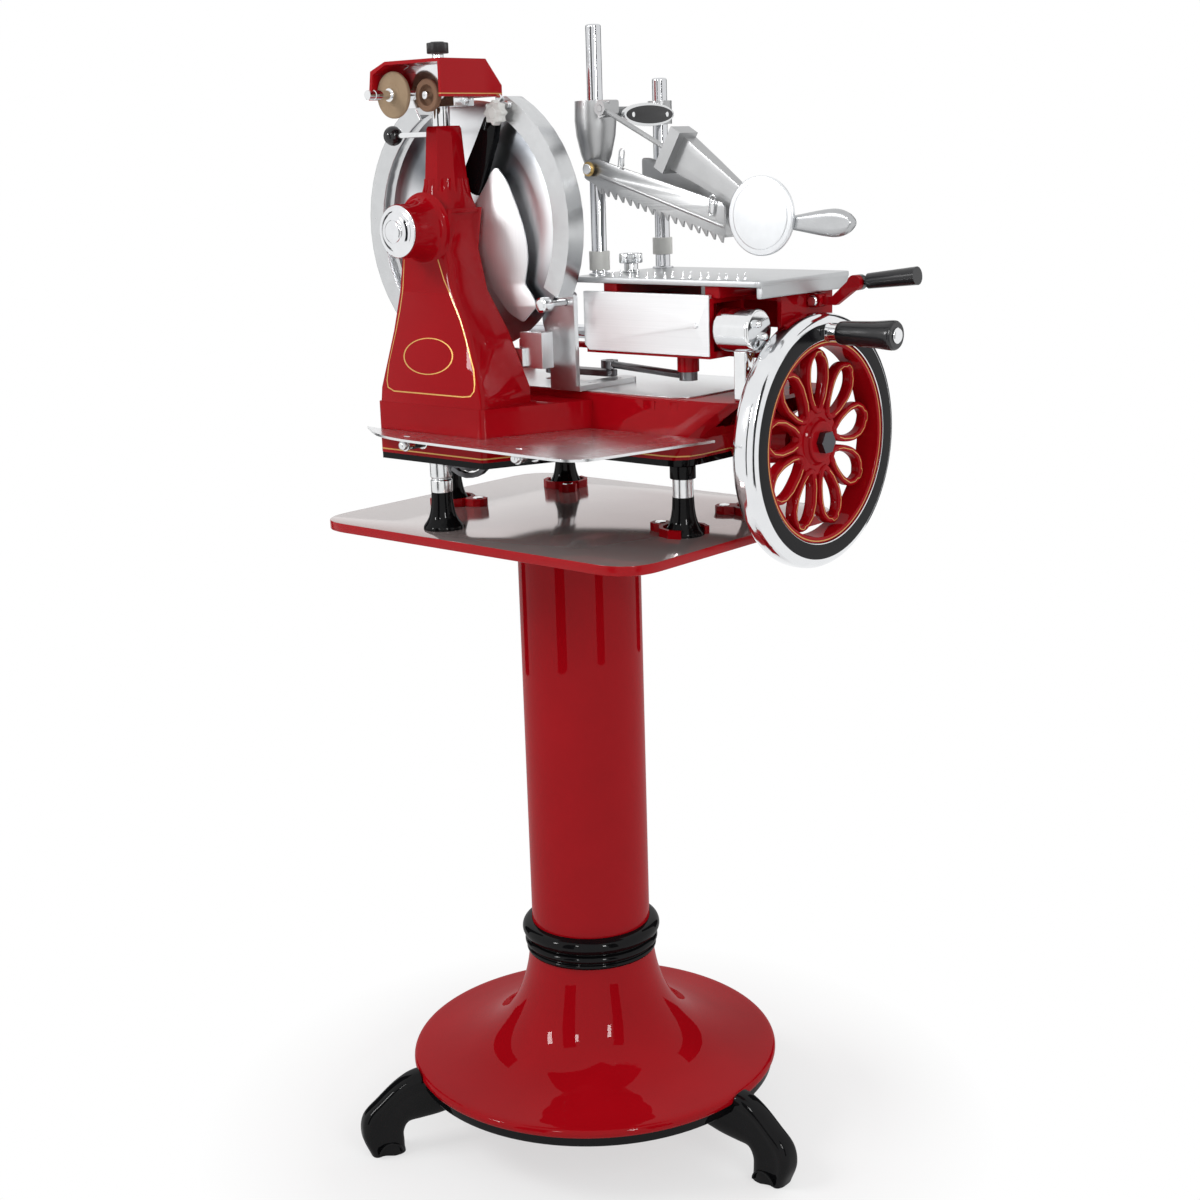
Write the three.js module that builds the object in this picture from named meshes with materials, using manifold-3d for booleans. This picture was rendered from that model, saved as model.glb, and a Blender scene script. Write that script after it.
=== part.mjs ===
import * as THREE from "three";
import { mergeVertices } from "three/addons/utils/BufferGeometryUtils.js";
import Module from "manifold-3d";

// Hand-cranked flywheel slicer on its pedestal, in millimetres.
// X runs along the flywheel's axis, Y from the column's face to the back, Z up.
// Places count from the axis of the pedestal's tube; heights count from a datum near the floor.

const wasm = await Module();
wasm.setup();

// Sizes that many pieces share
const overrun = 3;
const edge_step = 3;
const fit_gap = 0.3;
const floor_height = -22;

// Stand
const leg_count = 3;
const leg_reach = 328;
const leg_height = 106;
const leg_width = 46;
const base_radius = 245.7;
const base_rim_height = 72;
const base_neck_height = 199;
const base_wall = 6;
const base_neck_radius = 88;
const base_socket_depth = 19;
const base_ledge_width = 9;
const base_hub_depth = 39;
const base_ring_radius = 236;
const base_ring_width = 36;
const base_ring_thickness = 14;
const column_radius = 78.7;
const column_wall = 3.5;
const collar_height = 64;
const collar_radius = 92;
const plate_half_x = 263;
const plate_half_y = 211;
const plate_corner = 55;
const plate_thickness = 12;
const plate_top = 813;
const flange_half = 98;
const flange_thickness = 6;
const flange_corner = 14;

// Machine feet and their clips
const front_foot_x = -80;
const front_foot_y = -160;
const left_foot_x = -188;
const left_foot_y = -37;
const rear_foot_x = -145;
const rear_foot_y = 140;
const right_foot_x = 195;
const right_foot_y = -30;
const far_foot_x = 190;
const far_foot_y = 125;
const foot_radius = 24.5;
const foot_bell_height = 46;
const foot_neck_radius = 12.5;
const foot_sleeve_radius = 13.4;
const foot_groove_depth = 1.4;
const foot_collar_radius = 15.5;
const foot_collar_height = 16;
const clip_gap = 0.6;
const clip_wall = 5.5;
const clip_height = 15;
const clip_mouth_degrees = 100;
const clip_lug_length = 22;
const clip_lug_width = 24;
const clip_bolt_radius = 4.5;

// Machine casting
const plinth_bottom = 897;
const body_bottom = 905;
const plinth_inset = 2;
const plinth_width = 14;
const arm_left = -212;
const arm_right = 213;
const arm_front = -52;
const arm_back = 165;
const arm_top = 976;
const arm_end_flare = 75;
const arm_side_draft = 9;
const arm_corner = 34;
const body_wall = 7;
const block_left = -163;
const block_right = 15;
const block_front = -182;
const block_top = 968;
const block_slant_reach = 54;
const neck_left = -143;
const neck_right = -66;
const neck_front = -147;
const neck_back = -88;
const neck_top = 1198;
const block_column_back = -92;
const blade_axis_x = -101;
const blade_axis_z = 1174;
const boss_radius = 31.5;
const boss_front = -190;
const boss_back = -84;
const post_axis_x = -97;
const post_axis_y = -110;
const post_foot_radius = 38;
const post_head_radius = 33;
const post_top = 1294;
const chain_slot_front = -146;
const chain_slot_back = -112;
const cover_plate_thickness = 1.5;
const cover_plate_right = 207;
const cover_plate_inset = 6;

// Drive
const wheel_axis_y = 70;
const wheel_axis_z = 921;
const drive_axis_x = -64;
const shaft_radius = 8;
const shaft_clearance = 0.5;
const gear_radius = 19;
const gear_width = 9;
const gear_tooth_count = 12;
const crank_axis_y = 40;
const drive_shaft_front = -150;
const drive_shaft_back = 108;
const chain_width = 8;
const chain_thickness = 7;
const large_sprocket_pitch_radius = 45;
const small_sprocket_pitch_radius = 14;
const sprocket_width = 5;
const large_sprocket_tooth_count = 24;
const small_sprocket_tooth_count = 9;
const end_boss_root_radius = 36;
const end_boss_tip_radius = 27;

// Blade, guard and deflector
const blade_radius = 150;
const blade_front = -62;
const blade_back = -56;
const blade_flat_radius = 112;
const blade_edge_thickness = 0.8;
const blade_hub_radius = 18;
const blade_nut_radius = 17;
const blade_nut_back = -48;
const cap_radius = 30.5;
const cap_depth = 10;
const guard_gap = 3;
const guard_width = 18;
const guard_front = -78;
const guard_back = -51;
const guard_lip = 4;
const guard_right_start_degrees = -29;
const guard_right_end_degrees = 62;
const guard_left_start_degrees = 118;
const guard_left_end_degrees = 240;
const guard_lug_radius = 9;
const web_thickness = 6;
const bracket_plate_left = 8;
const bracket_plate_right = 50;
const bracket_top_left = -2;
const bracket_plate_thickness = 7;
const bracket_top = 1097;
const bracket_step_high = 1058;
const bracket_step_low = 1033;
const bracket_foot_left = 28;
const bracket_foot_back = 62;
const bracket_foot_thickness = 6.5;
const bolt_head_radius = 6;
const bolt_head_height = 5;
const thumb_x = 36;
const thumb_z = 1084;
const thumb_knob_radius = 9;
const thumb_knob_length = 18;
const thumb_shank_radius = 4;
const deflector_front = -72;
const deflector_thickness = 2;
const deflector_arm_width = 13;
const star_x = -29;
const star_z = 1307;
const star_radius = 14;
const star_depth = 12;
const cup_left = -8;
const cup_right = 28;
const cup_bottom = 1007;
const cup_top = 1050;
const cup_front = -86;
const cup_back = -66;
const cup_wall = 2;

// Receiving tray
const tray_bottom = 931.5;
const tray_thickness = 3;
const tray_left = -188;
const tray_front = -247;
const tray_right = 260;
const tray_gap = 1.5;
const tray_pin_radius = 4;
const tray_pin_front = -216;
const tray_pin_left_x = -79;
const tray_pin_right_x = 105;

// Sharpener
const stem_x = -101;
const stem_radius = 11;
const stem_foot = 1232;
const stem_block_half = 41;
const stem_block_front = -128;
const stem_block_back = -94;
const stem_block_bottom = 1316;
const hood_left = -163;
const hood_right = -40;
const hood_front = -168;
const hood_back = -66;
const hood_bottom = 1326;
const hood_top = 1369;
const hood_wall = 4;
const hood_arch = 5;
const hood_slope = 26;
const knurl_knob_radius = 13;
const knurl_knob_height = 14;
const knurl_knob_neck_radius = 7;
const knurl_knob_neck_height = 7;
const grind_x = -130;
const grind_y = -158;
const grind_z = 1331;
const grind_radius = 27;
const grind_thickness = 6;
const grind_pin_radius = 5.5;
const grind_pin_front = -201;
const hone_x = -84;
const hone_z = 1329;
const hone_radius = 19;
const hone_depth = 9;
const hone_front = -149;
const hone_bore_radius = 12;
const hone_pin_radius = 4.5;
const clamp_z = 1285;
const clamp_ball_radius = 12;
const clamp_ball_x = -186;
const clamp_rod_radius = 3.2;

// Flywheel
const petal_count = 9;
const rim_inner_radius = 119.5;
const rim_band_radius = 139;
const rim_radius = 150;
const rim_back = 298;
const rim_crest = 316;
const rim_front = 333;
const felloe_width = 7;
const web_back = 306;
const web_front = 321;
const petal_inner_radius = 40;
const petal_outer_radius = 101;
const petal_half_width = 14.5;
const petal_band = 8.5;
const wheel_hub_radius = 28;
const wheel_hub_front = 326;
const hub_bolt_radius = 14;
const hub_bolt_height = 9;
const grip_offset = 128;
const grip_end = 425;
const grip_start = 349;
const grip_neck_radius = 13.5;
const grip_pin_radius = 5;
const ferrule_radius = 11;

// Guide bar, rear rail and carriage
const guide_y = -15;
const guide_z = 1046;
const guide_radius = 8.5;
const guide_left = -212;
const support_overhang = 6;
const guide_right = 256;
const left_support_width = 18;
const left_support_depth = 30;
const left_support_top = 1062;
const right_cap_start = 248;
const right_cap_end = 297;
const right_cap_radius = 25;
const right_cap_z = 1057;
const right_post_left = 267;
const right_post_width = 17;
const right_post_depth = 18;
const rail_front = 115;
const rail_back = 130;
const rail_left = -200;
const rail_right = 262;
const rail_bottom = 1008;
const rail_top = 1014.7;
const rail_post_width = 16;
const carriage_left = 56;
const carriage_right = 243;
const carriage_end = 296;
const carriage_front = -36;
const carriage_middle = 30;
const carriage_back = 135;
const carriage_bottom = 1024;
const carriage_rear_bottom = 1045;
const carriage_top = 1093;
const carriage_front_wall = 8;
const carriage_wall = 6;
const bearing_web_length = 24;
const bearing_web_inset = 22;
const slide_bar_width = 20;
const slide_bar_inset = 24;
const slide_gap = 0.3;
const shoe_left = 130;
const shoe_length = 60;
const sheet_left = 54;
const sheet_bottom = 1027;
const sheet_top = 1097;
const sheet_thickness = 2;
const sheet_flange = 7;
const sheet_screw_x = 224;
const rod_pin_x = 192;
const rod_pin_y = -12;
const rod_boss_radius = 13;
const rod_bottom = 995;
const rod_thickness = 10;
const rod_bar_radius = 4.6;
const rod_eye_radius = 11;
const rod_gap = 0.3;
const rod_pin_radius = 5;
const crank_throw_length = 90;
const crank_bottom = 985;
const crank_thickness = 8;
const crank_hub_radius = 14;
const crank_pin_rise = 1.7;
const crank_arm_inset = 2;

// Table, posts and knob
const table_left = 30;
const table_right = 311;
const table_front = -34;
const table_back = 152;
const table_top = 1113.5;
const table_thickness = 7;
const table_lip = 13;
const table_lip_thickness = 8;
const spike_count = 9;
const spike_height = 8;
const spike_radius = 2.4;
const spike_first_x = 66;
const spike_last_x = 276;
const spike_row_front = -26;
const spike_row_back = -12;
const post_x = 42;
const left_post_y = 8;
const right_post_y = 131;
const post_radius = 9.5;
const left_post_top = 1405.5;
const right_post_top = 1345.5;
const post_collar_radius = 12.6;
const left_collar_bottom = 1118.5;
const left_collar_top = 1141.5;
const right_collar_bottom = 1130.5;
const right_collar_top = 1151.5;
const table_knob_x = 55;
const table_knob_y = 52;
const table_knob_radius = 14.5;
const table_knob_top = 1137;

// Press
const sleeve_radius = 17;
const sleeve_top = 1318;
const fork_bottom = 1228;
const crossbar_height = 14;
const crossbar_width = 14;
const right_sleeve_radius = 15;
const plate_pivot_x = 49;
const plate_pivot_z = 1239;
const plate_pin_radius = 4;
const press_left_x = 57;
const press_right_x = 248;
const press_left_top = 1250;
const press_right_top = 1198;
const press_left_bottom = 1219;
const press_right_bottom = 1160;
const press_front = -12;
const press_back = 78;
const press_wall = 3;
const tooth_count = 17;
const tooth_depth = 8;
const arm_pivot_x = 73;
const arm_pivot_z = 1308;
const arm_rod_radius = 3;
const arm_block_x = 164;
const arm_block_z = 1262;
const arm_block_depth = 34;
const arm_block_length = 15;
const arm_block_height = 52;
const disc_x = 297;
const disc_z = 1184;
const disc_y = -12;
const disc_radius = 44;
const disc_thickness = 6;
const handle_end_x = 412;
const handle_z = 1176;
const handle_half_width = 15;
const paddle_half_length = 48;
const paddle_thickness = 7;

// Fold lever
const lever_y = 96;
const lever_width = 8;
const lever_pivot_z = 1083;
const lever_hub_x = 353;
const lever_hub_z = 1104;
const lever_bar_height = 10;
const lever_hub_radius = 9;
const fold_grip_start = 366;
const fold_grip_end = 430;
const fold_grip_radius = 9;
const fold_grip_end_z = 1113;

// Outlines are lists of [u, v] points; softened() rounds their corners.
const weld_distance = 1e-4;

function softened(corners, radius, steps = 4) {
  const points = [];
  corners.forEach((corner, i) => {
    const here = new THREE.Vector2(...corner);
    const before = new THREE.Vector2(...corners[(i + corners.length - 1) % corners.length]);
    const after = new THREE.Vector2(...corners[(i + 1) % corners.length]);
    const reach = Array.isArray(radius) ? radius[i] : radius;
    const first = here.clone().lerp(before, Math.min(reach / here.distanceTo(before), 0.48));
    const last = here.clone().lerp(after, Math.min(reach / here.distanceTo(after), 0.48));
    const arc = new THREE.QuadraticBezierCurve(first, here, last);
    arc.getPoints(steps).forEach((p) => points.push([p.x, p.y]));
  });
  return points;
}

function rectangle(left, right, low, high) {
  return [
    [left, low],
    [right, low],
    [right, high],
    [left, high],
  ];
}

function circle(u, v, radius, sides = 20, turn = 0) {
  return Array.from({ length: sides }, (_, i) => {
    const angle = turn + (2 * Math.PI * i) / sides;
    return [u + radius * Math.cos(angle), v + radius * Math.sin(angle)];
  });
}

function star(u, v, outer, inner, count, per_tooth = 2) {
  return Array.from({ length: per_tooth * count }, (_, i) => {
    const angle = (2 * Math.PI * (i + 0.5)) / (per_tooth * count);
    const radius = i % per_tooth < per_tooth / 2 ? outer : inner;
    return [u + radius * Math.cos(angle), v + radius * Math.sin(angle)];
  });
}

// Closed meshes become solids that can be joined and cut.
function solid(geometry) {
  const bare = geometry.index ? geometry.toNonIndexed() : geometry.clone();
  bare.deleteAttribute("normal");
  bare.deleteAttribute("uv");
  const merged = mergeVertices(bare, weld_distance);
  const vertProperties = merged.attributes.position.array;
  const triVerts = new Uint32Array(merged.index.array);
  const made = new wasm.Manifold(new wasm.Mesh({ numProp: 3, vertProperties, triVerts }));
  if (made.volume() > 0) return made;
  triVerts.reverse();
  return new wasm.Manifold(new wasm.Mesh({ numProp: 3, vertProperties, triVerts }));
}

const join = (...pieces) => pieces.reduce((sum, piece) => sum.add(piece));
const cut = (piece, ...tools) => tools.reduce((rest, tool) => rest.subtract(tool), piece);

// An outline on the plane across an axis, drawn out along that axis:
// x takes [y, z], y takes [x, z], z takes [x, y].
const across = {
  x: [new THREE.Vector3(0, 1, 0), new THREE.Vector3(0, 0, 1), new THREE.Vector3(1, 0, 0)],
  y: [new THREE.Vector3(1, 0, 0), new THREE.Vector3(0, 0, 1), new THREE.Vector3(0, -1, 0)],
  z: [new THREE.Vector3(1, 0, 0), new THREE.Vector3(0, 1, 0), new THREE.Vector3(0, 0, 1)],
};

function drawn(axis, outline, from, to, holes = []) {
  const shape = new THREE.Shape(outline.map((p) => new THREE.Vector2(...p)));
  shape.holes = holes.map((hole) => new THREE.Path(hole.map((p) => new THREE.Vector2(...p))));
  const geometry = new THREE.ExtrudeGeometry(shape, { depth: to - from, bevelEnabled: false, steps: 1 });
  geometry.applyMatrix4(new THREE.Matrix4().makeBasis(...across[axis]));
  const shift = { x: [from, 0, 0], y: [0, to, 0], z: [0, 0, from] }[axis];
  return solid(geometry.translate(...shift));
}

function rod(axis, radius, from, to, u, v, sides = 16) {
  return drawn(axis, circle(u, v, radius, sides), from, to);
}

function block(left, right, front, back, low, high) {
  return drawn("z", rectangle(left, right, front, back), low, high);
}

// A profile of [radius, place along the axis] turned round an axis.
function turned(axis, profile, u = 0, v = 0, sides = 28) {
  const geometry = new THREE.LatheGeometry(profile.map((p) => new THREE.Vector2(...p)), sides);
  if (axis === "z") geometry.rotateX(Math.PI / 2).translate(u, v, 0);
  if (axis === "x") geometry.rotateZ(-Math.PI / 2).translate(0, u, v);
  if (axis === "y") geometry.translate(u, 0, v);
  return solid(geometry);
}

function closedProfile(points) {
  return [...points, points[0]];
}

// Rings of the same number of [x, y, z] points, skinned one to the next and closed at both ends.
function skinned(rings) {
  const corner = [];
  const count = rings[0].length;
  for (let i = 0; i + 1 < rings.length; i++) {
    for (let k = 0; k < count; k++) {
      const next = (k + 1) % count;
      corner.push(rings[i][k], rings[i][next], rings[i + 1][next]);
      corner.push(rings[i][k], rings[i + 1][next], rings[i + 1][k]);
    }
  }
  const middle = (ring) => [0, 1, 2].map((axis) => ring.reduce((sum, p) => sum + p[axis], 0) / count);
  const first = middle(rings[0]);
  const last = middle(rings.at(-1));
  for (let k = 0; k < count; k++) {
    const next = (k + 1) % count;
    corner.push(rings[0][next], rings[0][k], first);
    corner.push(rings.at(-1)[k], rings.at(-1)[next], last);
  }
  const geometry = new THREE.BufferGeometry();
  geometry.setAttribute("position", new THREE.Float32BufferAttribute(corner.flat(), 3));
  return solid(geometry);
}

// A round bar between two points in space, with its own radius at each end.
function strut(start, end, radius, sides = 12, end_radius = radius) {
  const a = new THREE.Vector3(...start);
  const b = new THREE.Vector3(...end);
  const geometry = new THREE.CylinderGeometry(end_radius, radius, a.distanceTo(b), sides);
  const turn = new THREE.Quaternion().setFromUnitVectors(
    new THREE.Vector3(0, 1, 0),
    b.clone().sub(a).normalize(),
  );
  geometry.applyQuaternion(turn).translate(...a.add(b).multiplyScalar(0.5).toArray());
  return solid(geometry);
}

const mix = THREE.MathUtils.lerp;
const degrees = THREE.MathUtils.degToRad;

// Finishes
function finish(colour, roughness, metalness) {
  return new THREE.MeshStandardMaterial({ color: colour, roughness, metalness });
}
const red_paint = finish(0xa50a12, 0.2, 0);
const black_paint = finish(0x0a0a0a, 0.25, 0);
const black_plastic = finish(0x151515, 0.45, 0);
const white_plastic = finish(0xf0f0ee, 0.4, 0);
const chrome = finish(0xd8dadd, 0.08, 1);
const polished_steel = finish(0xc9ccd0, 0.15, 1);
const satin_steel = finish(0xb9bcc0, 0.35, 1);
const cast_aluminium = finish(0xaeb0b2, 0.42, 1);
const dark_steel = finish(0x55585c, 0.4, 1);
const tan_stone = finish(0xa58d6d, 0.9, 0);
const brown_stone = finish(0x8a5f45, 0.9, 0);

const slicer = new THREE.Group();
slicer.name = "flywheel_slicer";

function node(name, made, material) {
  const mesh = made.getMesh();
  const geometry = new THREE.BufferGeometry();
  geometry.setAttribute("position", new THREE.BufferAttribute(new Float32Array(mesh.vertProperties), 3));
  geometry.setIndex(new THREE.BufferAttribute(new Uint32Array(mesh.triVerts), 1));
  const flat = geometry.toNonIndexed();
  flat.computeVertexNormals();
  const piece = new THREE.Mesh(flat, material);
  piece.name = name;
  slicer.add(piece);
}

// Stand: dome, leg frame, collar, tube and plate
const dome_shares = [
  [0.366, 0.97],
  [0.395, 0.85],
  [0.44, 0.748],
  [0.509, 0.66],
  [0.61, 0.614],
  [0.733, 0.575],
  [0.814, 0.51],
  [0.887, 0.417],
  [0.944, 0.283],
  [0.981, 0.15],
  [1, 0.03],
  [0.991, 0],
];
const dome_rise = base_neck_height - base_rim_height;
const base_ring_bottom = base_rim_height - base_ring_thickness;
const plate_bottom = plate_top - plate_thickness;
const column_foot = base_neck_height - base_socket_depth;

function baseDome() {
  const outer = dome_shares.map(([r, h]) => [r * base_radius, base_rim_height + h * dome_rise]);
  const inner = [4, 5, 7, 9].map((i) => [outer[i][0] - base_wall, outer[i][1] - base_wall]);
  const rim = [outer.at(-1)[0] - 2 * base_wall, base_rim_height];
  const socket = column_radius + fit_gap;
  const ledge = column_radius - base_ledge_width;
  const hub_bottom = base_neck_height - base_hub_depth;
  const hub = [
    [base_neck_radius, inner[0][1]],
    [base_neck_radius, hub_bottom],
    [ledge, hub_bottom],
    [ledge, column_foot],
    [socket, column_foot],
    [socket, base_neck_height],
  ];
  const top = [base_neck_radius, base_neck_height];
  return turned("z", closedProfile([top, ...outer, rim, ...inner.reverse(), ...hub]), 0, 0, 32);
}

const leg_section_shares = [
  { top: [0, 0.868], low: [0, 0.453], half: 0.435 },
  { top: [0.249, 1], low: [0.195, 0.406], half: 0.457 },
  { top: [0.429, 1], low: [0.382, 0.387], half: 0.457 },
  { top: [0.61, 0.896], low: [0.516, 0.368], half: 0.435 },
  { top: [0.805, 0.708], low: [0.569, 0.264], half: 0.435 },
  { top: [0.969, 0.519], low: [0.569, 0.132], half: 0.457 },
  { top: [1, 0.264], low: [0.569, 0.057], half: 0.5 },
  { top: [0.923, 0], low: [0.562, 0], half: 0.478 },
];

function leg(angle) {
  const sides = 8;
  const blunt = (value) => Math.sign(value) * Math.abs(value) ** 0.7;
  const rings = leg_section_shares.map(({ top, low, half }) =>
    Array.from({ length: sides }, (_, i) => {
      const turn = (2 * Math.PI * (i + 0.5)) / sides;
      const along = 0.5 + 0.5 * blunt(Math.cos(turn));
      const reach = mix(base_ring_radius - base_ring_width, leg_reach, mix(low[0], top[0], along));
      const side = leg_width * half * blunt(Math.sin(turn));
      const height = floor_height + leg_height * mix(low[1], top[1], along);
      const x = reach * Math.cos(angle) - side * Math.sin(angle);
      return [x, reach * Math.sin(angle) + side * Math.cos(angle), height];
    }),
  );
  return skinned(rings);
}

function legFrame() {
  const inner = base_ring_radius - base_ring_width;
  const ring = turned(
    "z",
    closedProfile([
      [base_ring_radius, base_ring_bottom],
      [base_ring_radius, base_rim_height],
      [inner, base_rim_height],
      [inner, base_ring_bottom],
    ]),
    0,
    0,
    32,
  );
  const dome_room = turned(
    "z",
    [
      [0, base_rim_height],
      [base_radius + fit_gap, base_rim_height],
      [base_radius + fit_gap, base_neck_height],
      [0, base_neck_height],
    ],
    0,
    0,
    32,
  );
  const legs = Array.from({ length: leg_count }, (_, i) => leg((2 * Math.PI * i) / leg_count));
  return join(ring, ...legs.map((one) => cut(one, dome_room)));
}

function columnTube() {
  const inside = column_radius - column_wall;
  const tube = turned(
    "z",
    closedProfile([
      [column_radius, column_foot],
      [column_radius, plate_bottom],
      [inside, plate_bottom],
      [inside, column_foot],
    ]),
    0,
    0,
    32,
  );
  const flange_outline = softened(
    rectangle(-flange_half, flange_half, -flange_half, flange_half),
    flange_corner,
  );
  const flange = drawn("z", flange_outline, plate_bottom - flange_thickness, plate_bottom, [
    circle(0, 0, inside, 32),
  ]);
  return join(tube, flange);
}

const collar_shares = [
  [0.87, 1],
  [0.98, 0.87],
  [0.98, 0.62],
  [0.93, 0.5],
  [1, 0.36],
  [1, 0.14],
  [0.93, 0],
];

function collar() {
  const inside = column_radius + fit_gap;
  const outer = collar_shares.map(([r, h]) => [r * collar_radius, base_neck_height + h * collar_height]);
  const closing = [
    [inside, base_neck_height],
    [inside, base_neck_height + collar_height],
  ];
  return turned("z", closedProfile([...outer, ...closing]), 0, 0, 32);
}

node("leg_frame", legFrame(), black_paint);
node("base_dome", baseDome(), red_paint);
node("column_collar", collar(), black_paint);
node("column_tube", columnTube(), red_paint);
node(
  "top_plate",
  drawn(
    "z",
    softened(rectangle(-plate_half_x, plate_half_x, -plate_half_y, plate_half_y), plate_corner, 6),
    plate_bottom,
    plate_top,
  ),
  red_paint,
);

// Bell feet under the machine, and the clips that keep four of them in place
const foot_places = [
  { x: front_foot_x, y: front_foot_y },
  { x: left_foot_x, y: left_foot_y },
  { x: rear_foot_x, y: rear_foot_y },
  { x: right_foot_x, y: right_foot_y },
  { x: far_foot_x, y: far_foot_y },
];
const foot_bell_shares = [
  [1, 0],
  [1, 0.1],
  [0.8, 0.22],
  [0.6, 0.5],
];
const foot_bell_top = plate_top + foot_bell_height;

function machineFoot(place, collared) {
  const bell = foot_bell_shares.map(([r, h]) => [r * foot_radius, plate_top + h * foot_bell_height]);
  const profile = [[0, plate_top], ...bell, [foot_neck_radius, foot_bell_top]];
  if (collared) {
    const collar_low = plinth_bottom - foot_collar_height;
    profile.push([foot_neck_radius, collar_low]);
    profile.push([foot_collar_radius, collar_low]);
    profile.push([foot_collar_radius, plinth_bottom]);
  } else {
    const groove = foot_sleeve_radius - foot_groove_depth;
    const groove_low = mix(foot_bell_top, plinth_bottom, 0.4);
    profile.push([foot_sleeve_radius, foot_bell_top]);
    profile.push([foot_sleeve_radius, groove_low]);
    profile.push([groove, groove_low + foot_groove_depth]);
    profile.push([groove, groove_low + 2 * foot_groove_depth]);
    profile.push([foot_sleeve_radius, groove_low + 3 * foot_groove_depth]);
    profile.push([foot_sleeve_radius, plinth_bottom]);
  }
  profile.push([0, plinth_bottom]);
  return turned("z", profile, place.x, place.y, 14);
}

function footClip(place) {
  const facing = Math.atan2(place.y, place.x);
  const inner = foot_radius + clip_gap;
  const outer = inner + clip_wall;
  const half_mouth = degrees(clip_mouth_degrees) / 2;
  const steps = 8;
  const arc = (radius) =>
    Array.from({ length: steps + 1 }, (_, i) => {
      const angle = facing + mix(half_mouth, 2 * Math.PI - half_mouth, i / steps);
      return [place.x + radius * Math.cos(angle), place.y + radius * Math.sin(angle)];
    });
  const horseshoe = drawn(
    "z",
    [...arc(outer), ...arc(inner).reverse()],
    plate_top,
    plate_top + clip_height,
  );
  const at = (along, side) => [
    place.x - along * Math.cos(facing) - side * Math.sin(facing),
    place.y - along * Math.sin(facing) + side * Math.cos(facing),
  ];
  const lug_start = mix(inner, outer, 0.5);
  const lug_end = outer + clip_lug_length;
  const half = clip_lug_width / 2;
  const lug_outline = [at(lug_start, -half), at(lug_end, -half), at(lug_end, half), at(lug_start, half)];
  const lug = drawn("z", softened(lug_outline, [0, half, half, 0], 2), plate_top, plate_top + clip_height);
  const hole_place = at(lug_end - half, 0);
  const hole = rod(
    "z",
    clip_bolt_radius,
    plate_top - overrun,
    plate_top + clip_height + overrun,
    ...hole_place,
    8,
  );
  const foot_room = rod(
    "z",
    inner,
    plate_top - overrun,
    plate_top + clip_height + overrun,
    place.x,
    place.y,
    18,
  );
  return cut(join(horseshoe, lug), hole, foot_room);
}

foot_places.forEach((place, i) => {
  node("machine_foot_" + (i + 1), machineFoot(place, i > 0), black_paint);
  if (i > 0) node("foot_clip_" + i, footClip(place), red_paint);
});

// Casting of the machine: hollow arm, block, tapering column, boss and sharpener post
const flare_shares = [
  [0, 0],
  [0.352, 0.173],
  [0.704, 0.6],
  [1, 1],
];

function armRing([height_share, flare_share], inset, low, high) {
  const z = mix(low, high, height_share);
  const draft = arm_side_draft * height_share;
  const right = arm_right + arm_end_flare * flare_share - inset;
  const outline = rectangle(
    arm_left + inset,
    right,
    arm_front + draft + inset,
    arm_back - draft / 2 - inset,
  );
  return softened(outline, arm_corner - inset, 3).map(([x, y]) => [x, y, z]);
}

function armShell() {
  const outer = skinned(flare_shares.map((row) => armRing(row, 0, body_bottom, arm_top)));
  const room = skinned(
    flare_shares.map((row) => armRing(row, body_wall, body_bottom - overrun, arm_top - body_wall)),
  );
  return { outer, room };
}

function blockOutline(inset) {
  return [
    [block_left + inset, block_front + inset],
    [block_right - inset, block_front + inset],
    [block_right + block_slant_reach - inset, arm_front - inset],
    [block_right + block_slant_reach - inset, arm_front + body_wall - inset],
    [block_left + inset, arm_front + body_wall - inset],
  ];
}

const column_section_shares = [
  { height: -0.04, left: 0.1, right: 0, front: 0.01, back: 0 },
  { height: 0.074, left: 0.25, right: 0, front: 0.03, back: 0 },
  { height: 0.37, left: 0.65, right: 0.41, front: 0.54, back: 0 },
  { height: 0.574, left: 0.85, right: 0.8, front: 0.83, back: 0 },
  { height: 0.79, left: 1, right: 1, front: 1, back: 1 },
  { height: 1, left: 1.3, right: 0.93, front: 1, back: 1.8 },
];

function taperingColumn() {
  const rings = column_section_shares.map((share) => {
    const outline = rectangle(
      mix(block_left, neck_left, share.left),
      mix(block_right, neck_right, share.right),
      mix(block_front, neck_front, share.front),
      mix(block_column_back, neck_back, share.back),
    );
    const z = mix(block_top, neck_top, share.height);
    return softened(outline, body_wall, 2).map(([x, y]) => [x, y, z]);
  });
  return skinned(rings);
}

function sharpenerPost() {
  const ring = (radius, z) => circle(
    post_axis_x,
    post_axis_y,
    radius,
    8,
    Math.PI / 8,
  ).map(([x, y]) => [x, y, z]);
  return skinned([
    ring(post_foot_radius, neck_top - 2 * body_wall),
    ring(post_foot_radius, neck_top),
    ring(post_head_radius, post_top - edge_step),
    ring(post_head_radius - edge_step, post_top),
  ]);
}

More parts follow.
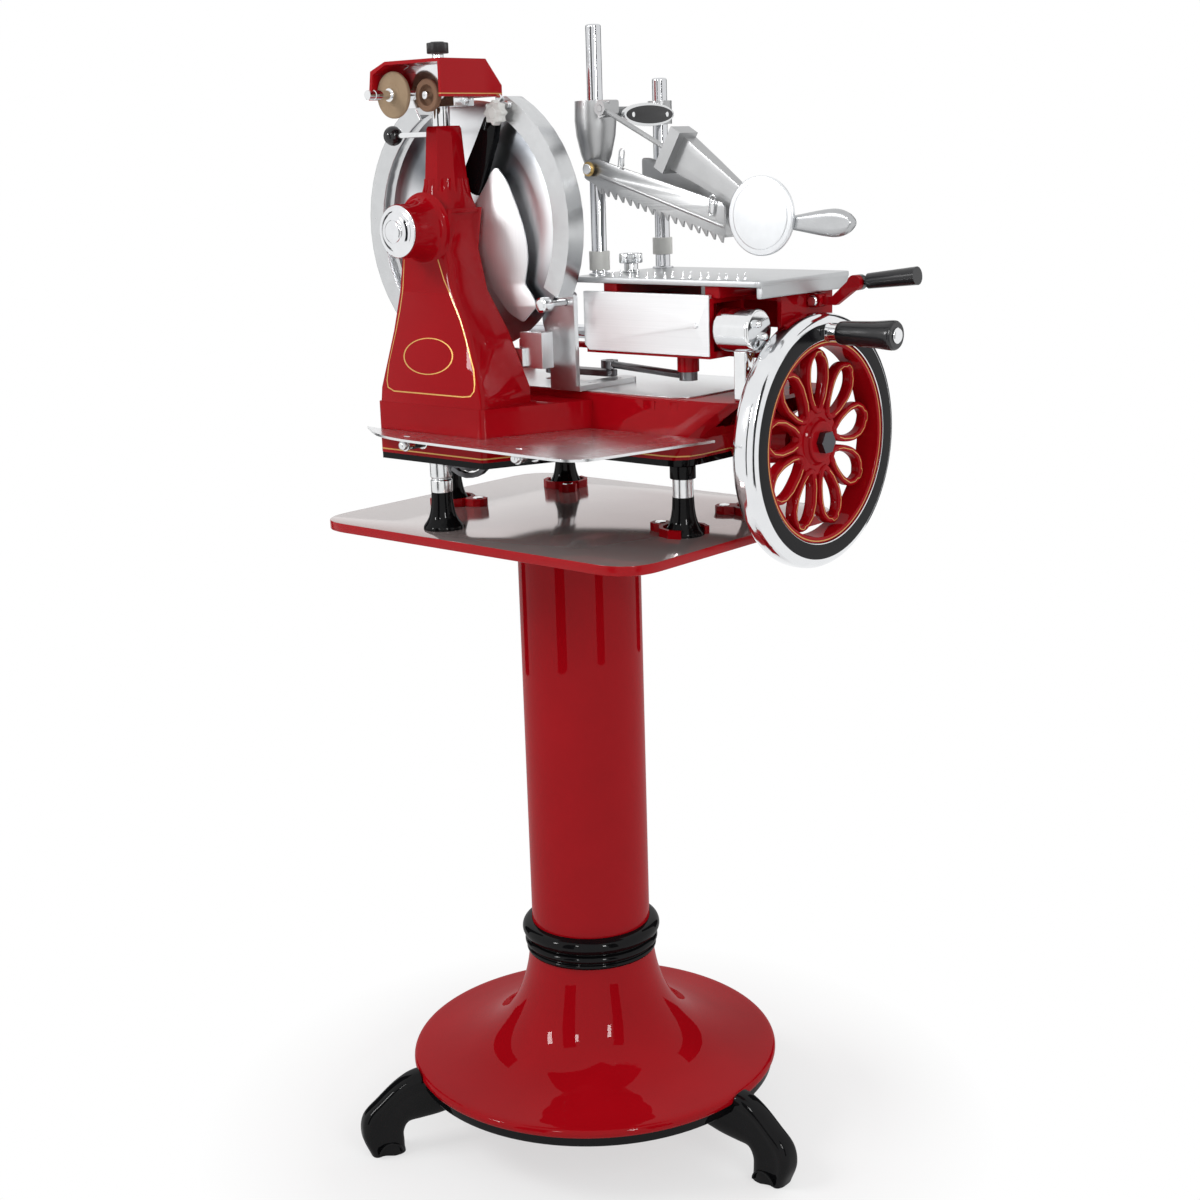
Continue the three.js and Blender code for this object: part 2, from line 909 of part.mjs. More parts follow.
// The chain's loop round both sprockets, grown or shrunk by an offset
function chainLoop(offset) {
  const span_x = blade_axis_x - drive_axis_x;
  const span_z = blade_axis_z - wheel_axis_z;
  const lean = Math.atan2(span_z, span_x);
  const spread = Math.acos(
    (large_sprocket_pitch_radius - small_sprocket_pitch_radius) / Math.hypot(span_x, span_z),
  );
  const arc = (x, z, radius, from, to, steps) =>
    Array.from({ length: steps + 1 }, (_, i) => {
      const angle = mix(from, to, i / steps);
      return [x + radius * Math.cos(angle), z + radius * Math.sin(angle)];
    });
  const low = arc(
    drive_axis_x,
    wheel_axis_z,
    large_sprocket_pitch_radius + offset,
    lean + spread,
    lean - spread + 2 * Math.PI,
    12,
  );
  const high = arc(
    blade_axis_x,
    blade_axis_z,
    small_sprocket_pitch_radius + offset,
    lean - spread,
    lean + spread,
    6,
  );
  return [...low, ...high];
}

const shaft_bore = shaft_radius + shaft_clearance;
const chain_room = chain_thickness;
const end_boss_tip = arm_right + arm_end_flare + edge_step;

function machineBody() {
  const arm = armShell();
  const base = drawn(
    "z",
    softened(blockOutline(0), [body_wall, body_wall, body_wall, 0, 0]),
    body_bottom,
    block_top,
  );
  const boss = rod("y", boss_radius, boss_front, boss_back, blade_axis_x, blade_axis_z, 22);
  const end_boss = turned(
    "x",
    [
      [0, arm_right + edge_step],
      [end_boss_root_radius, arm_right + edge_step],
      [end_boss_tip_radius, end_boss_tip],
      [0, end_boss_tip],
    ],
    wheel_axis_y,
    wheel_axis_z,
    18,
  );
  const shell = join(
    cut(join(arm.outer, base), arm.room),
    taperingColumn(),
    boss,
    sharpenerPost(),
    end_boss,
  );
  const bearing_half = 2 * shaft_bore;
  const back_bearing = block(
    drive_axis_x - bearing_half,
    drive_axis_x + bearing_half,
    wheel_axis_y + gear_radius + gear_width,
    arm_back - body_wall,
    body_bottom,
    arm_top - body_wall / 2,
  );
  const wheel_bearing_x = mix(drive_axis_x, arm_right, 0.8);
  const wheel_bearing = block(
    wheel_bearing_x - bearing_half / 2,
    wheel_bearing_x + bearing_half / 2,
    arm_front + body_wall,
    arm_back - body_wall,
    body_bottom,
    arm_top - body_wall / 2,
  );
  const pads = foot_places
    .slice(1)
    .map(({ x, y }) => rod("z", foot_collar_radius, body_bottom, arm_top - body_wall / 2, x, y, 10));
  const chain_slot = drawn("y", chainLoop(chain_room), chain_slot_front, chain_slot_back);
  const chain_mouth = block(
    drive_axis_x - large_sprocket_pitch_radius - chain_room,
    drive_axis_x + large_sprocket_pitch_radius + chain_room,
    chain_slot_front,
    chain_slot_back,
    body_bottom - overrun,
    wheel_axis_z,
  );
  const block_room = block(
    block_left + 2 * body_wall,
    block_right - body_wall,
    chain_slot_back + body_wall,
    arm_front - body_wall,
    body_bottom - overrun,
    block_top - body_wall,
  );
  const bores = [
    rod("y", shaft_bore, boss_front - overrun, boss_back + overrun, blade_axis_x, blade_axis_z),
    rod(
      "y",
      shaft_bore,
      drive_shaft_front - fit_gap,
      drive_shaft_back + fit_gap,
      drive_axis_x,
      wheel_axis_z,
    ),
    rod("x", shaft_bore, drive_axis_x, end_boss_tip + overrun, wheel_axis_y, wheel_axis_z),
    rod("z", shaft_bore, wheel_axis_z, arm_top + overrun, drive_axis_x, crank_axis_y),
    rod("z", stem_radius + fit_gap, stem_foot, post_top + overrun, stem_x, post_axis_y),
    rod("x", clamp_rod_radius + fit_gap, clamp_ball_x, stem_x, post_axis_y, clamp_z, 12),
  ];
  return cut(
    join(shell, back_bearing, wheel_bearing, ...pads),
    chain_slot,
    chain_mouth,
    block_room,
    ...bores,
  );
}

node("machine_body", machineBody(), red_paint);

function plinthFrame() {
  const arm_outline = (inset) =>
    softened(
      rectangle(arm_left + inset, arm_right - inset, arm_front + inset, arm_back - inset),
      Math.max(arm_corner - inset, edge_step),
    );
  const room_inset = plinth_inset + plinth_width;
  const full = join(
    drawn("z", arm_outline(plinth_inset), plinth_bottom, body_bottom),
    drawn("z", blockOutline(plinth_inset), plinth_bottom, body_bottom),
  );
  const room_low = plinth_bottom - overrun;
  const room_high = body_bottom + overrun;
  const arm_room = drawn("z", arm_outline(room_inset), room_low, room_high);
  const block_room = drawn(
    "z",
    [
      [block_left + room_inset, block_front + room_inset],
      [block_right - room_inset, block_front + room_inset],
      [block_right, arm_front - plinth_width],
      [block_left + room_inset, arm_front - plinth_width],
    ],
    room_low,
    room_high,
  );
  const pads = foot_places.map(({ x, y }) =>
    rod("z", foot_collar_radius + 2 * plinth_inset, plinth_bottom, body_bottom, x, y, 18),
  );
  const inner_web = pads.map((pad) => pad.intersect(full));
  return join(cut(full, arm_room, block_room), ...inner_web);
}

node("plinth_frame", plinthFrame(), black_paint);

const cover_top = arm_top + cover_plate_thickness;
node(
  "arm_cover_plate",
  drawn(
    "z",
    softened(
      rectangle(
        arm_left + cover_plate_inset,
        cover_plate_right,
        arm_front + arm_side_draft + cover_plate_inset,
        arm_back - arm_side_draft / 2 - cover_plate_inset,
      ),
      arm_corner - cover_plate_inset,
    ),
    arm_top,
    cover_top,
    [circle(drive_axis_x, crank_axis_y, crank_hub_radius, 20)],
  ),
  satin_steel,
);

// Drive inside the casting: bevel gears share their cones' tips, so their faces keep one small gap
const shaft_sides = 12;

function bevelGear(axis, tip, direction, u, v) {
  const near = gear_radius - gear_width;
  const ring = (distance) =>
    star(
      u,
      v,
      distance - shaft_clearance,
      distance - 2 * shaft_clearance,
      gear_tooth_count,
    ).map(([a, b]) => {
      const along = tip + direction * distance;
      if (axis === "x") return [along, a, b];
      return axis === "y" ? [a, along, b] : [a, b, along];
    });
  return skinned([ring(near), ring(gear_radius)]);
}

const chain_middle = mix(chain_slot_front, chain_slot_back, 0.5);
const chain_half = chain_thickness / 2;
const sprocket_front = chain_middle - sprocket_width / 2;
const sprocket_back = chain_middle + sprocket_width / 2;

function sprocket(pitch_radius, tooth_count, x, z) {
  const outer = pitch_radius - chain_half - 2 * shaft_clearance;
  return drawn("y", star(x, z, outer, outer - fit_gap * 5, tooth_count), sprocket_front, sprocket_back);
}

node(
  "drive_chain",
  drawn("y", chainLoop(chain_half), chain_middle - chain_width / 2, chain_middle + chain_width / 2, [
    chainLoop(-chain_half),
  ]),
  dark_steel,
);
node(
  "drive_shaft",
  join(
    rod(
      "y",
      shaft_radius,
      drive_shaft_front + shaft_radius,
      drive_shaft_back,
      drive_axis_x,
      wheel_axis_z,
      shaft_sides,
    ),
    bevelGear("y", wheel_axis_y, 1, drive_axis_x, wheel_axis_z),
    bevelGear("y", crank_axis_y, -1, drive_axis_x, wheel_axis_z),
    sprocket(large_sprocket_pitch_radius, large_sprocket_tooth_count, drive_axis_x, wheel_axis_z),
  ),
  dark_steel,
);

const crank_top = crank_bottom + crank_thickness;
const crank_pin_x = drive_axis_x + crank_throw_length;
function crankPiece() {
  const arm_half = rod_eye_radius - crank_arm_inset;
  const arm = drawn(
    "z",
    softened(
      rectangle(drive_axis_x, crank_pin_x + arm_half, crank_axis_y - arm_half, crank_axis_y + arm_half),
      arm_half,
    ),
    crank_bottom,
    crank_top,
  );
  return join(
    rod("z", shaft_radius, wheel_axis_z + gear_radius, crank_top, drive_axis_x, crank_axis_y, shaft_sides),
    bevelGear("z", wheel_axis_z, 1, drive_axis_x, crank_axis_y),
    rod("z", crank_hub_radius, crank_bottom, crank_top, drive_axis_x, crank_axis_y),
    arm,
    rod("z", rod_pin_radius, crank_top, crank_top + crank_pin_rise, crank_pin_x, crank_axis_y, 12),
  );
}
node("crank", crankPiece(), dark_steel);

const hub_bolt_end = wheel_hub_front + hub_bolt_height;
node(
  "flywheel_shaft",
  join(
    rod(
      "x",
      shaft_radius,
      drive_axis_x + gear_radius,
      wheel_hub_front,
      wheel_axis_y,
      wheel_axis_z,
      shaft_sides,
    ),
    bevelGear("x", drive_axis_x, 1, wheel_axis_y, wheel_axis_z),
    rod("x", hub_bolt_radius, wheel_hub_front, hub_bolt_end, wheel_axis_y, wheel_axis_z, 6),
  ),
  chrome,
);

// Blade with its shaft and cap
node(
  "blade_shaft",
  join(
    rod(
      "y",
      shaft_radius,
      boss_front + shaft_clearance,
      blade_nut_back,
      blade_axis_x,
      blade_axis_z,
      shaft_sides,
    ),
    sprocket(small_sprocket_pitch_radius, small_sprocket_tooth_count, blade_axis_x, blade_axis_z),
    rod(
      "y",
      blade_hub_radius,
      blade_front - blade_hub_radius * 0.6,
      blade_front,
      blade_axis_x,
      blade_axis_z,
    ),
    rod("y", blade_nut_radius, blade_back, blade_nut_back, blade_axis_x, blade_axis_z, 6),
  ),
  satin_steel,
);
node(
  "blade",
  turned(
    "y",
    closedProfile([
      [shaft_radius + fit_gap, blade_front],
      [blade_flat_radius, blade_front],
      [blade_radius, blade_back - blade_edge_thickness],
      [blade_radius, blade_back],
      [shaft_radius + fit_gap, blade_back],
    ]),
    blade_axis_x,
    blade_axis_z,
    48,
  ),
  polished_steel,
);
const cap_shares = [
  [0, 1],
  [0.43, 1],
  [0.5, 0.85],
  [0.7, 0.7],
  [0.8, 0.35],
  [1, 0.2],
  [1, 0],
  [0, 0],
];
node(
  "blade_cap",
  turned(
    "y",
    cap_shares.map(([r, d]) => [r * cap_radius, boss_front - d * cap_depth]),
    blade_axis_x,
    blade_axis_z,
    22,
  ),
  chrome,
);

// Guard ring: an open band round the blade's edge with a lip in front, in a right and a left part
function guardArc(start, end, inner, outer, front, back) {
  const steps = Math.max(2, Math.round((end - start) / 7));
  return skinned(
    Array.from({ length: steps + 1 }, (_, i) => {
      const angle = degrees(mix(start, end, i / steps));
      const at = (radius, y) => [
        blade_axis_x + radius * Math.cos(angle),
        y,
        blade_axis_z + radius * Math.sin(angle),
      ];
      return [at(inner, front), at(outer, front), at(outer, back), at(inner, back)];
    }),
  );
}

function guardBand(start, end) {
  const lip_back = guard_front + guard_lip;
  return join(
    guardArc(start, end, guard_inner_radius, guard_outer_radius, guard_front, guard_back),
    guardArc(start, end, blade_radius - guard_lip, guard_outer_radius, guard_front, lip_back),
  );
}

const guard_inner_radius = blade_radius + guard_gap;
const guard_outer_radius = guard_inner_radius + guard_width;
const foot_top = cover_top + bracket_foot_thickness;
const guard_middle = mix(guard_inner_radius, guard_outer_radius, 0.5);
const arm_back_face = guard_front;
const arm_front_face = guard_front - web_thickness;

function rightGuard() {
  const lug_angle = degrees(guard_right_end_degrees);
  const lug = rod(
    "y",
    guard_lug_radius,
    guard_front,
    guard_back,
    blade_axis_x + guard_middle * Math.cos(lug_angle),
    blade_axis_z + guard_middle * Math.sin(lug_angle),
    16,
  );
  const screw_hole = rod(
    "y",
    thumb_shank_radius + fit_gap,
    guard_front - overrun,
    guard_back + overrun,
    thumb_x,
    thumb_z,
    14,
  );
  const star_hole = rod(
    "y",
    clamp_rod_radius + fit_gap,
    guard_front - overrun,
    guard_back + overrun,
    star_x,
    star_z,
    12,
  );
  return cut(
    join(guardBand(guard_right_start_degrees, guard_right_end_degrees), lug),
    screw_hole,
    star_hole,
  );
}
node("guard_ring_right", rightGuard(), cast_aluminium);

function leftGuard() {
  const end_angle = degrees(guard_left_end_degrees);
  const end_x = blade_axis_x + guard_middle * Math.cos(end_angle);
  const end_z = blade_axis_z + guard_middle * Math.sin(end_angle);
  const foot_left = end_x - guard_lug_radius - guard_lip;
  const foot_right = end_x + guard_lug_radius;
  const leg_top = end_z + guard_lip;
  const leg_back = guard_back + bracket_plate_thickness;
  const foot_back = guard_back + 2.5 * bracket_plate_thickness;
  const upright = block(foot_left, foot_right, guard_back, leg_back, cover_top, leg_top);
  const bridge = block(foot_left, foot_right, guard_front, leg_back, leg_top - guard_lug_radius, leg_top);
  const foot = block(foot_left, foot_right, guard_back, foot_back, cover_top, foot_top);
  return join(guardBand(guard_left_start_degrees, guard_left_end_degrees), upright, bridge, foot);
}
node("guard_ring_left", leftGuard(), cast_aluminium);

function guardBracket() {
  const back = guard_back + bracket_plate_thickness;
  const outline = [
    [bracket_plate_left, cover_top],
    [bracket_plate_right, cover_top],
    [bracket_plate_right, bracket_top],
    [bracket_top_left, bracket_top],
    [bracket_top_left, bracket_step_high],
    [bracket_plate_left, bracket_step_low],
  ];
  const reach = bracket_plate_thickness;
  const upright = drawn("y", softened(outline, [0, 0, reach, reach, reach, reach], 3), guard_back, back);
  const foot_right = bracket_plate_right + bolt_head_radius;
  const foot = drawn(
    "z",
    softened(
      rectangle(bracket_foot_left, foot_right, guard_back, bracket_foot_back),
      [0, 0, 2 * bolt_head_radius, 2 * bolt_head_radius],
    ),
    cover_top,
    foot_top,
  );
  const bolt_x = mix(bracket_foot_left, foot_right, 0.5);
  const bolts = [0.3, 0.75].map((share) =>
    rod(
      "z",
      bolt_head_radius,
      foot_top,
      foot_top + bolt_head_height,
      bolt_x,
      mix(back, bracket_foot_back, share),
      6,
    ),
  );
  const screw_hole = rod(
    "y",
    thumb_shank_radius + fit_gap,
    guard_back - overrun,
    back + overrun,
    thumb_x,
    thumb_z,
    14,
  );
  return cut(join(upright, foot, ...bolts.map((b) => b.intersect(block(
    bracket_foot_left, foot_right, back, bracket_foot_back, foot_top, crank_bottom - fit_gap)))), screw_hole);
}
node("guard_bracket", guardBracket(), satin_steel);
node(
  "thumb_screw",
  join(
    rod("y", thumb_knob_radius, guard_front - thumb_knob_length, guard_front, thumb_x, thumb_z, 18),
    rod("y", thumb_shank_radius, guard_front, guard_back + bracket_plate_thickness, thumb_x, thumb_z, 14),
  ),
  chrome,
);

// Slice deflector in front of the blade, on a black arm that a star knob clamps to the ring
const deflector_shares = [
  [0.336, 0.454],
  [0.398, 0.337],
  [0.557, 0.171],
  [0.638, -0.083],
  [0.608, -0.462],
  [0.734, -0.656],
  [0.527, -0.772],
  [0.382, -0.684],
  [0.159, -0.427],
  [0.167, 0.066],
];
const deflector_outline = deflector_shares.map(([x, z]) => [
  blade_axis_x + x * blade_radius,
  blade_axis_z + z * blade_radius,
]);
node(
  "deflector",
  drawn(
    "y",
    softened(deflector_outline.toReversed(), deflector_arm_width, 3),
    deflector_front,
    deflector_front + deflector_thickness,
  ),
  satin_steel,
);

function deflectorArm() {
  const half = deflector_arm_width / 2;
  const low_x = mix(deflector_outline[0][0], deflector_outline[9][0], 0.25);
  const low_z = mix(deflector_outline[0][1], deflector_outline[9][1], 0.45);
  const lean = new THREE.Vector2(star_x - low_x, star_z - low_z).normalize();
  const side = [lean.y * half, -lean.x * half];
  const outline = [
    [low_x - side[0], low_z - side[1]],
    [low_x + side[0], low_z + side[1]],
    [star_x + side[0], star_z + side[1]],
    [star_x - side[0], star_z - side[1]],
  ];
  const flat = drawn("y", outline, arm_front_face, arm_back_face);
  const low_eye = rod("y", half, arm_front_face, deflector_front, low_x, low_z, 16);
  const high_eye = rod("y", half + fit_gap, arm_front_face, arm_back_face, star_x, star_z, 16);
  const hole = rod(
    "y",
    clamp_rod_radius + fit_gap,
    arm_front_face - overrun,
    arm_back_face + overrun,
    star_x,
    star_z,
    12,
  );
  return cut(join(flat, low_eye, high_eye), hole);
}
node("deflector_arm", deflectorArm(), black_paint);
node(
  "star_knob",
  join(
    drawn(
      "y",
      softened(star(star_x, star_z, star_radius, star_radius * 0.82, 7, 4), star_radius / 8, 1),
      arm_front_face - star_depth,
      arm_front_face,
    ),
    rod("y", clamp_rod_radius, arm_front_face, guard_front + guard_lip, star_x, star_z, 12),
  ),
  white_plastic,
);

function dripCup() {
  const lug_depth = cup_front - (block_column_back - edge_step);
  const outer = block(cup_left, cup_right, cup_front, cup_back, cup_bottom, cup_top);
  const room = block(
    cup_left + cup_wall,
    cup_right - cup_wall,
    cup_front + cup_wall,
    cup_back - cup_wall,
    cup_bottom + cup_wall,
    cup_top + overrun,
  );
  const lug = block(
    cup_left - 2 * lug_depth,
    cup_left + lug_depth,
    block_column_back,
    cup_front + cup_wall,
    cup_bottom + cup_wall,
    mix(cup_bottom, cup_top, 0.55),
  );
  return join(cut(outer, room), lug);
}
node("drip_cup", dripCup(), cast_aluminium);

// Receiving tray with two pins that plug into the casting
function receivingTray() {
  const outline = [
    [tray_left, block_front + edge_step],
    [mix(tray_left, block_right, 0.38), tray_front + 4 * tray_thickness + edge_step],
    [tray_right - arm_right / 5, tray_front],
    [tray_right, arm_front + tray_gap],
    [block_right + block_slant_reach + tray_gap, arm_front - tray_gap],
    [block_right + tray_gap, block_front - tray_gap],
    [block_left - tray_gap, block_front - tray_gap],
  ];
  const corner = arm_corner;
  const sheet = drawn(
    "z",
    softened(outline, [tray_gap, corner * 2, corner, tray_gap, 0, 0, tray_gap], 5),
    tray_bottom,
    tray_bottom + tray_thickness,
  );
  const pin_z = tray_bottom - tray_pin_radius - edge_step;
  const pin = (x, back) => {
    const saddle = block(
      x - tray_pin_radius,
      x + tray_pin_radius,
      tray_pin_front,
      tray_pin_front + 3 * tray_pin_radius,
      pin_z,
      tray_bottom,
    );
    return join(rod("y", tray_pin_radius, tray_pin_front - edge_step, back, x, pin_z, 12), saddle);
  };
  return join(
    sheet,
    pin(tray_pin_left_x, block_front - fit_gap),
    pin(tray_pin_right_x, arm_front - fit_gap),
  );
}
node("receiving_tray", receivingTray(), satin_steel);

// Sharpener: stem, hood with the block that carries both pins, knob, two stones and the clamp lever
const roof_under = hood_top - hood_wall;
node("sharpener_stem", rod("z", stem_radius, stem_foot, roof_under, stem_x, post_axis_y, 20), chrome);

function sharpenerHood() {
  const arched = (inset) => [
    [hood_left + inset, hood_bottom - inset],
    [hood_right - inset, hood_bottom - inset],
    [hood_right - inset, hood_top - inset],
    [mix(hood_left, hood_right, 0.25), hood_top - inset],
    [hood_left + hood_arch + inset, hood_top - 2 * hood_arch - inset],
  ];
  const side = (inset, past) => [
    [hood_front - past, hood_bottom - past],
    [hood_back - inset, hood_bottom - past],
    [hood_back - inset, mix(hood_bottom, hood_top, 0.3)],
    [hood_back - hood_slope + inset / 2, hood_top - inset],
    [hood_front - past, hood_top - inset],
  ];
  const outer = drawn("y", arched(0), hood_front, hood_back).intersect(
    drawn("x", side(0, 0), hood_left, hood_right),
  );
  const room = drawn("y", arched(hood_wall), hood_front - overrun, hood_back).intersect(
    drawn("x", side(hood_wall, overrun), hood_left, hood_right),
  );
  const stone_block = block(
    stem_x - stem_block_half,
    stem_x + stem_block_half,
    stem_block_front,
    stem_block_back,
    stem_block_bottom,
    hood_top - hood_wall / 2,
  );
  const stem_bore = rod(
    "z",
    stem_radius + fit_gap,
    stem_block_bottom - overrun,
    roof_under,
    stem_x,
    post_axis_y,
    20,
  );
  return cut(join(cut(outer, room), stone_block), stem_bore);
}
node("sharpener_hood", sharpenerHood(), red_paint);
node(
  "sharpener_knob",
  turned(
    "z",
    [
      [0, hood_top],
      [knurl_knob_neck_radius, hood_top],
      [knurl_knob_neck_radius, hood_top + knurl_knob_neck_height],
      [knurl_knob_radius, hood_top + knurl_knob_neck_height + cup_wall],
      [knurl_knob_radius, hood_top + knurl_knob_neck_height + knurl_knob_height - cup_wall],
      [knurl_knob_radius - cup_wall, hood_top + knurl_knob_neck_height + knurl_knob_height],
      [0, hood_top + knurl_knob_neck_height + knurl_knob_height],
    ],
    stem_x,
    post_axis_y,
    20,
  ),
  black_plastic,
);
node(
  "grinding_wheel",
  join(
    rod(
      "y",
      grind_radius,
      grind_y - grind_thickness / 2,
      grind_y + grind_thickness / 2,
      grind_x,
      grind_z,
      28,
    ),
    rod("y", grind_pin_radius, grind_pin_front, stem_block_front - fit_gap, grind_x, grind_z, 14),
  ),
  tan_stone,
);
function honingCup() {
  const back = hone_front + hone_depth;
  const cup = cut(
    rod("y", hone_radius, hone_front, back, hone_x, hone_z, 24),
    rod("y", hone_bore_radius, hone_front - overrun, mix(hone_front, back, 0.6), hone_x, hone_z, 20),
  );
  return join(
    cup,
    rod("y", hone_pin_radius, hone_front - edge_step, stem_block_front - fit_gap, hone_x, hone_z, 12),
  );
}
node("honing_cup", honingCup(), brown_stone);
function clampLever() {
  const ball = new THREE.SphereGeometry(clamp_ball_radius, 12, 8);
  ball.translate(clamp_ball_x, post_axis_y, clamp_z);
  const inner_end = post_axis_x - post_head_radius / 2;
  return join(
    solid(ball),
    rod("x", clamp_rod_radius, clamp_ball_x, inner_end, post_axis_y, clamp_z, 12),
  );
}
node("clamp_ball_lever", clampLever(), black_plastic);

// Flywheel: nine petal loops between a hub and a felloe, inside a chromed rim
const felloe_radius = rim_inner_radius - fit_gap;
const felloe_inner = felloe_radius - felloe_width;
const petal_step = (2 * Math.PI) / petal_count;
const petal_width_shares = [
  [0, 0.16],
  [0.2, 0.62],
  [0.52, 0.99],
  [0.78, 0.95],
  [0.93, 0.6],
  [1, 0.15],
];

function petalHalfWidth(radius) {
  const place = (radius - petal_inner_radius) / (petal_outer_radius - petal_inner_radius);
  const row = petal_width_shares.findIndex(([share]) => share >= place);
  if (row < 0) return 0;
  if (row === 0) return petal_half_width * petal_width_shares[0][1];
  const [low, low_width] = petal_width_shares[row - 1];
  const [high, high_width] = petal_width_shares[row];
  return petal_half_width * mix(low_width, high_width, (place - low) / (high - low));
}

function onWheel(radius, side, angle) {
  return [
    wheel_axis_y + radius * Math.cos(angle) - side * Math.sin(angle),
    wheel_axis_z + radius * Math.sin(angle) + side * Math.cos(angle),
  ];
}

function petalOpening(angle) {
  const radius_at = (share) => mix(petal_inner_radius, petal_outer_radius, share);
  const right = petal_width_shares.map(
    ([share, width]) => onWheel(radius_at(share), -petal_half_width * width, angle),
  );
  const left = petal_width_shares.map(
    ([share, width]) => onWheel(radius_at(share), petal_half_width * width, angle),
  );
  return [...right, ...left.reverse()];
}

function gapOpening(angle) {
  const loop_end = petal_outer_radius + petal_band;
  const gap_start = mix(petal_inner_radius, petal_outer_radius, 0.55);
  const radii = [0, 0.4, 0.75, 1].map((share) => mix(gap_start, loop_end, share));
  const half_gap = (radius) => {
    const inside = Math.min(radius, petal_outer_radius);
    const past = Math.max(radius - petal_outer_radius + petal_band / 2, 0) / (petal_band * 1.5);
    const band = petal_band * Math.sqrt(Math.max(1 - past * past, 0));
    return (radius * petal_step) / 2 - petalHalfWidth(inside) - band;
  };
  const open = radii.filter((radius) => half_gap(radius) > fit_gap);
  const right = open.map((radius) => onWheel(radius, -half_gap(radius), angle));
  const left = open.map((radius) => onWheel(radius, half_gap(radius), angle));
  const tip = onWheel(open[0] - fit_gap * 4, 0, angle);
  return [tip, ...right, ...left.reverse()];
}

function flywheelBody() {
  const sides = 45;
  const rim_circle = (radius) => circle(wheel_axis_y, wheel_axis_z, radius, sides);
  const first = Math.PI / 2;
  const angles = Array.from({ length: petal_count }, (_, i) => first + i * petal_step);
  const web = drawn("x", rim_circle(mix(felloe_inner, felloe_radius, 0.5)), web_back, web_front, [
    ...angles.map(petalOpening),
    ...angles.map((angle) => gapOpening(angle + petal_step / 2)),
  ]);
  const felloe = drawn("x", rim_circle(felloe_radius), rim_back + cup_wall, rim_front - cup_wall, [
    rim_circle(felloe_inner),
  ]);
  const hub = rod(
    "x",
    wheel_hub_radius,
    rim_back + cup_wall,
    wheel_hub_front,
    wheel_axis_y,
    wheel_axis_z,
    24,
  );
  const bore = rod(
    "x",
    shaft_radius + fit_gap,
    rim_back,
    wheel_hub_front + overrun,
    wheel_axis_y,
    wheel_axis_z,
  );
  return cut(join(web, felloe, hub), bore);
}
node("flywheel", flywheelBody(), red_paint);

function rimBody() {
  const flank = mix(rim_inner_radius, rim_radius, 0.5);
  const shoulder = mix(flank, rim_radius, 0.7);
  const profile = [
    [rim_inner_radius, rim_back + cup_wall],
    [flank, rim_back],
    [shoulder, mix(rim_back, rim_crest, 0.3)],
    [rim_radius, mix(rim_back, rim_crest, 0.75)],
    [rim_radius, mix(rim_crest, rim_front, 0.25)],
    [mix(rim_band_radius, rim_radius, 0.6), mix(rim_crest, rim_front, 0.75)],
    [rim_band_radius, rim_front],
    [rim_inner_radius, rim_front],
  ];
  return turned("x", closedProfile(profile), wheel_axis_y, wheel_axis_z, 45);
}
node("flywheel_rim", rimBody(), chrome);

const grip_z = wheel_axis_z + grip_offset;
const pin_head = (grip_neck_radius + grip_pin_radius) / 2;
node(
  "grip_pin",
  turned(
    "x",
    [
      [0, rim_front],
      [ferrule_radius, rim_front],
      [pin_head, grip_start - fit_gap],
      [grip_pin_radius, grip_start - fit_gap],
      [grip_pin_radius, grip_end + fit_gap],
      [pin_head, grip_end + fit_gap],
      [pin_head, grip_end + edge_step],
      [0, grip_end + edge_step],
    ],
    wheel_axis_y,
    grip_z,
    14,
  ),
  chrome,
);
const grip_shares = [
  [0, 0.85],
  [0.05, 1],
  [0.3, 1.06],
  [0.6, 1.12],
  [0.93, 1.26],
  [1, 1.12],
];
node(
  "wheel_grip",
  turned(
    "x",
    closedProfile([
      ...grip_shares.map(([along, width]) => [width * grip_neck_radius, mix(grip_start, grip_end, along)]),
      [grip_pin_radius + fit_gap, grip_end],
      [grip_pin_radius + fit_gap, grip_start],
    ]),
    wheel_axis_y,
    grip_z,
    16,
  ),
  black_plastic,
);

// Guide bar with its two supports; the left one and the rear rail are one frame
node("guide_bar", rod("x", guide_radius, guide_left, guide_right, guide_y, guide_z, 20), chrome);

function rearFrame() {
  const half_depth = left_support_depth / 2;
  const support_right = guide_left + left_support_width;
  const support = cut(
    block(
      guide_left - support_overhang,
      support_right,
      guide_y - half_depth,
      guide_y + half_depth,
      cover_top,
      left_support_top,
    ),
    rod("x", guide_radius + fit_gap, guide_left - fit_gap, support_right + overrun, guide_y, guide_z),
  );
  const tie = block(
    guide_left - support_overhang,
    support_right,
    guide_y,
    rail_back,
    cover_top,
    cover_top + bracket_foot_thickness,
  );
  const rail = block(rail_left, rail_right, rail_front, rail_back, rail_bottom, rail_top);
  const left_post = block(
    rail_left,
    rail_left + rail_post_width,
    rail_front,
    rail_back,
    cover_top,
    rail_bottom,
  );
  const right_post = block(
    rail_right - rail_post_width,
    rail_right,
    rail_front,
    rail_back,
    arm_top,
    rail_bottom,
  );
  return join(support, tie, rail, left_post, right_post);
}
node("rear_frame", rearFrame(), red_paint);

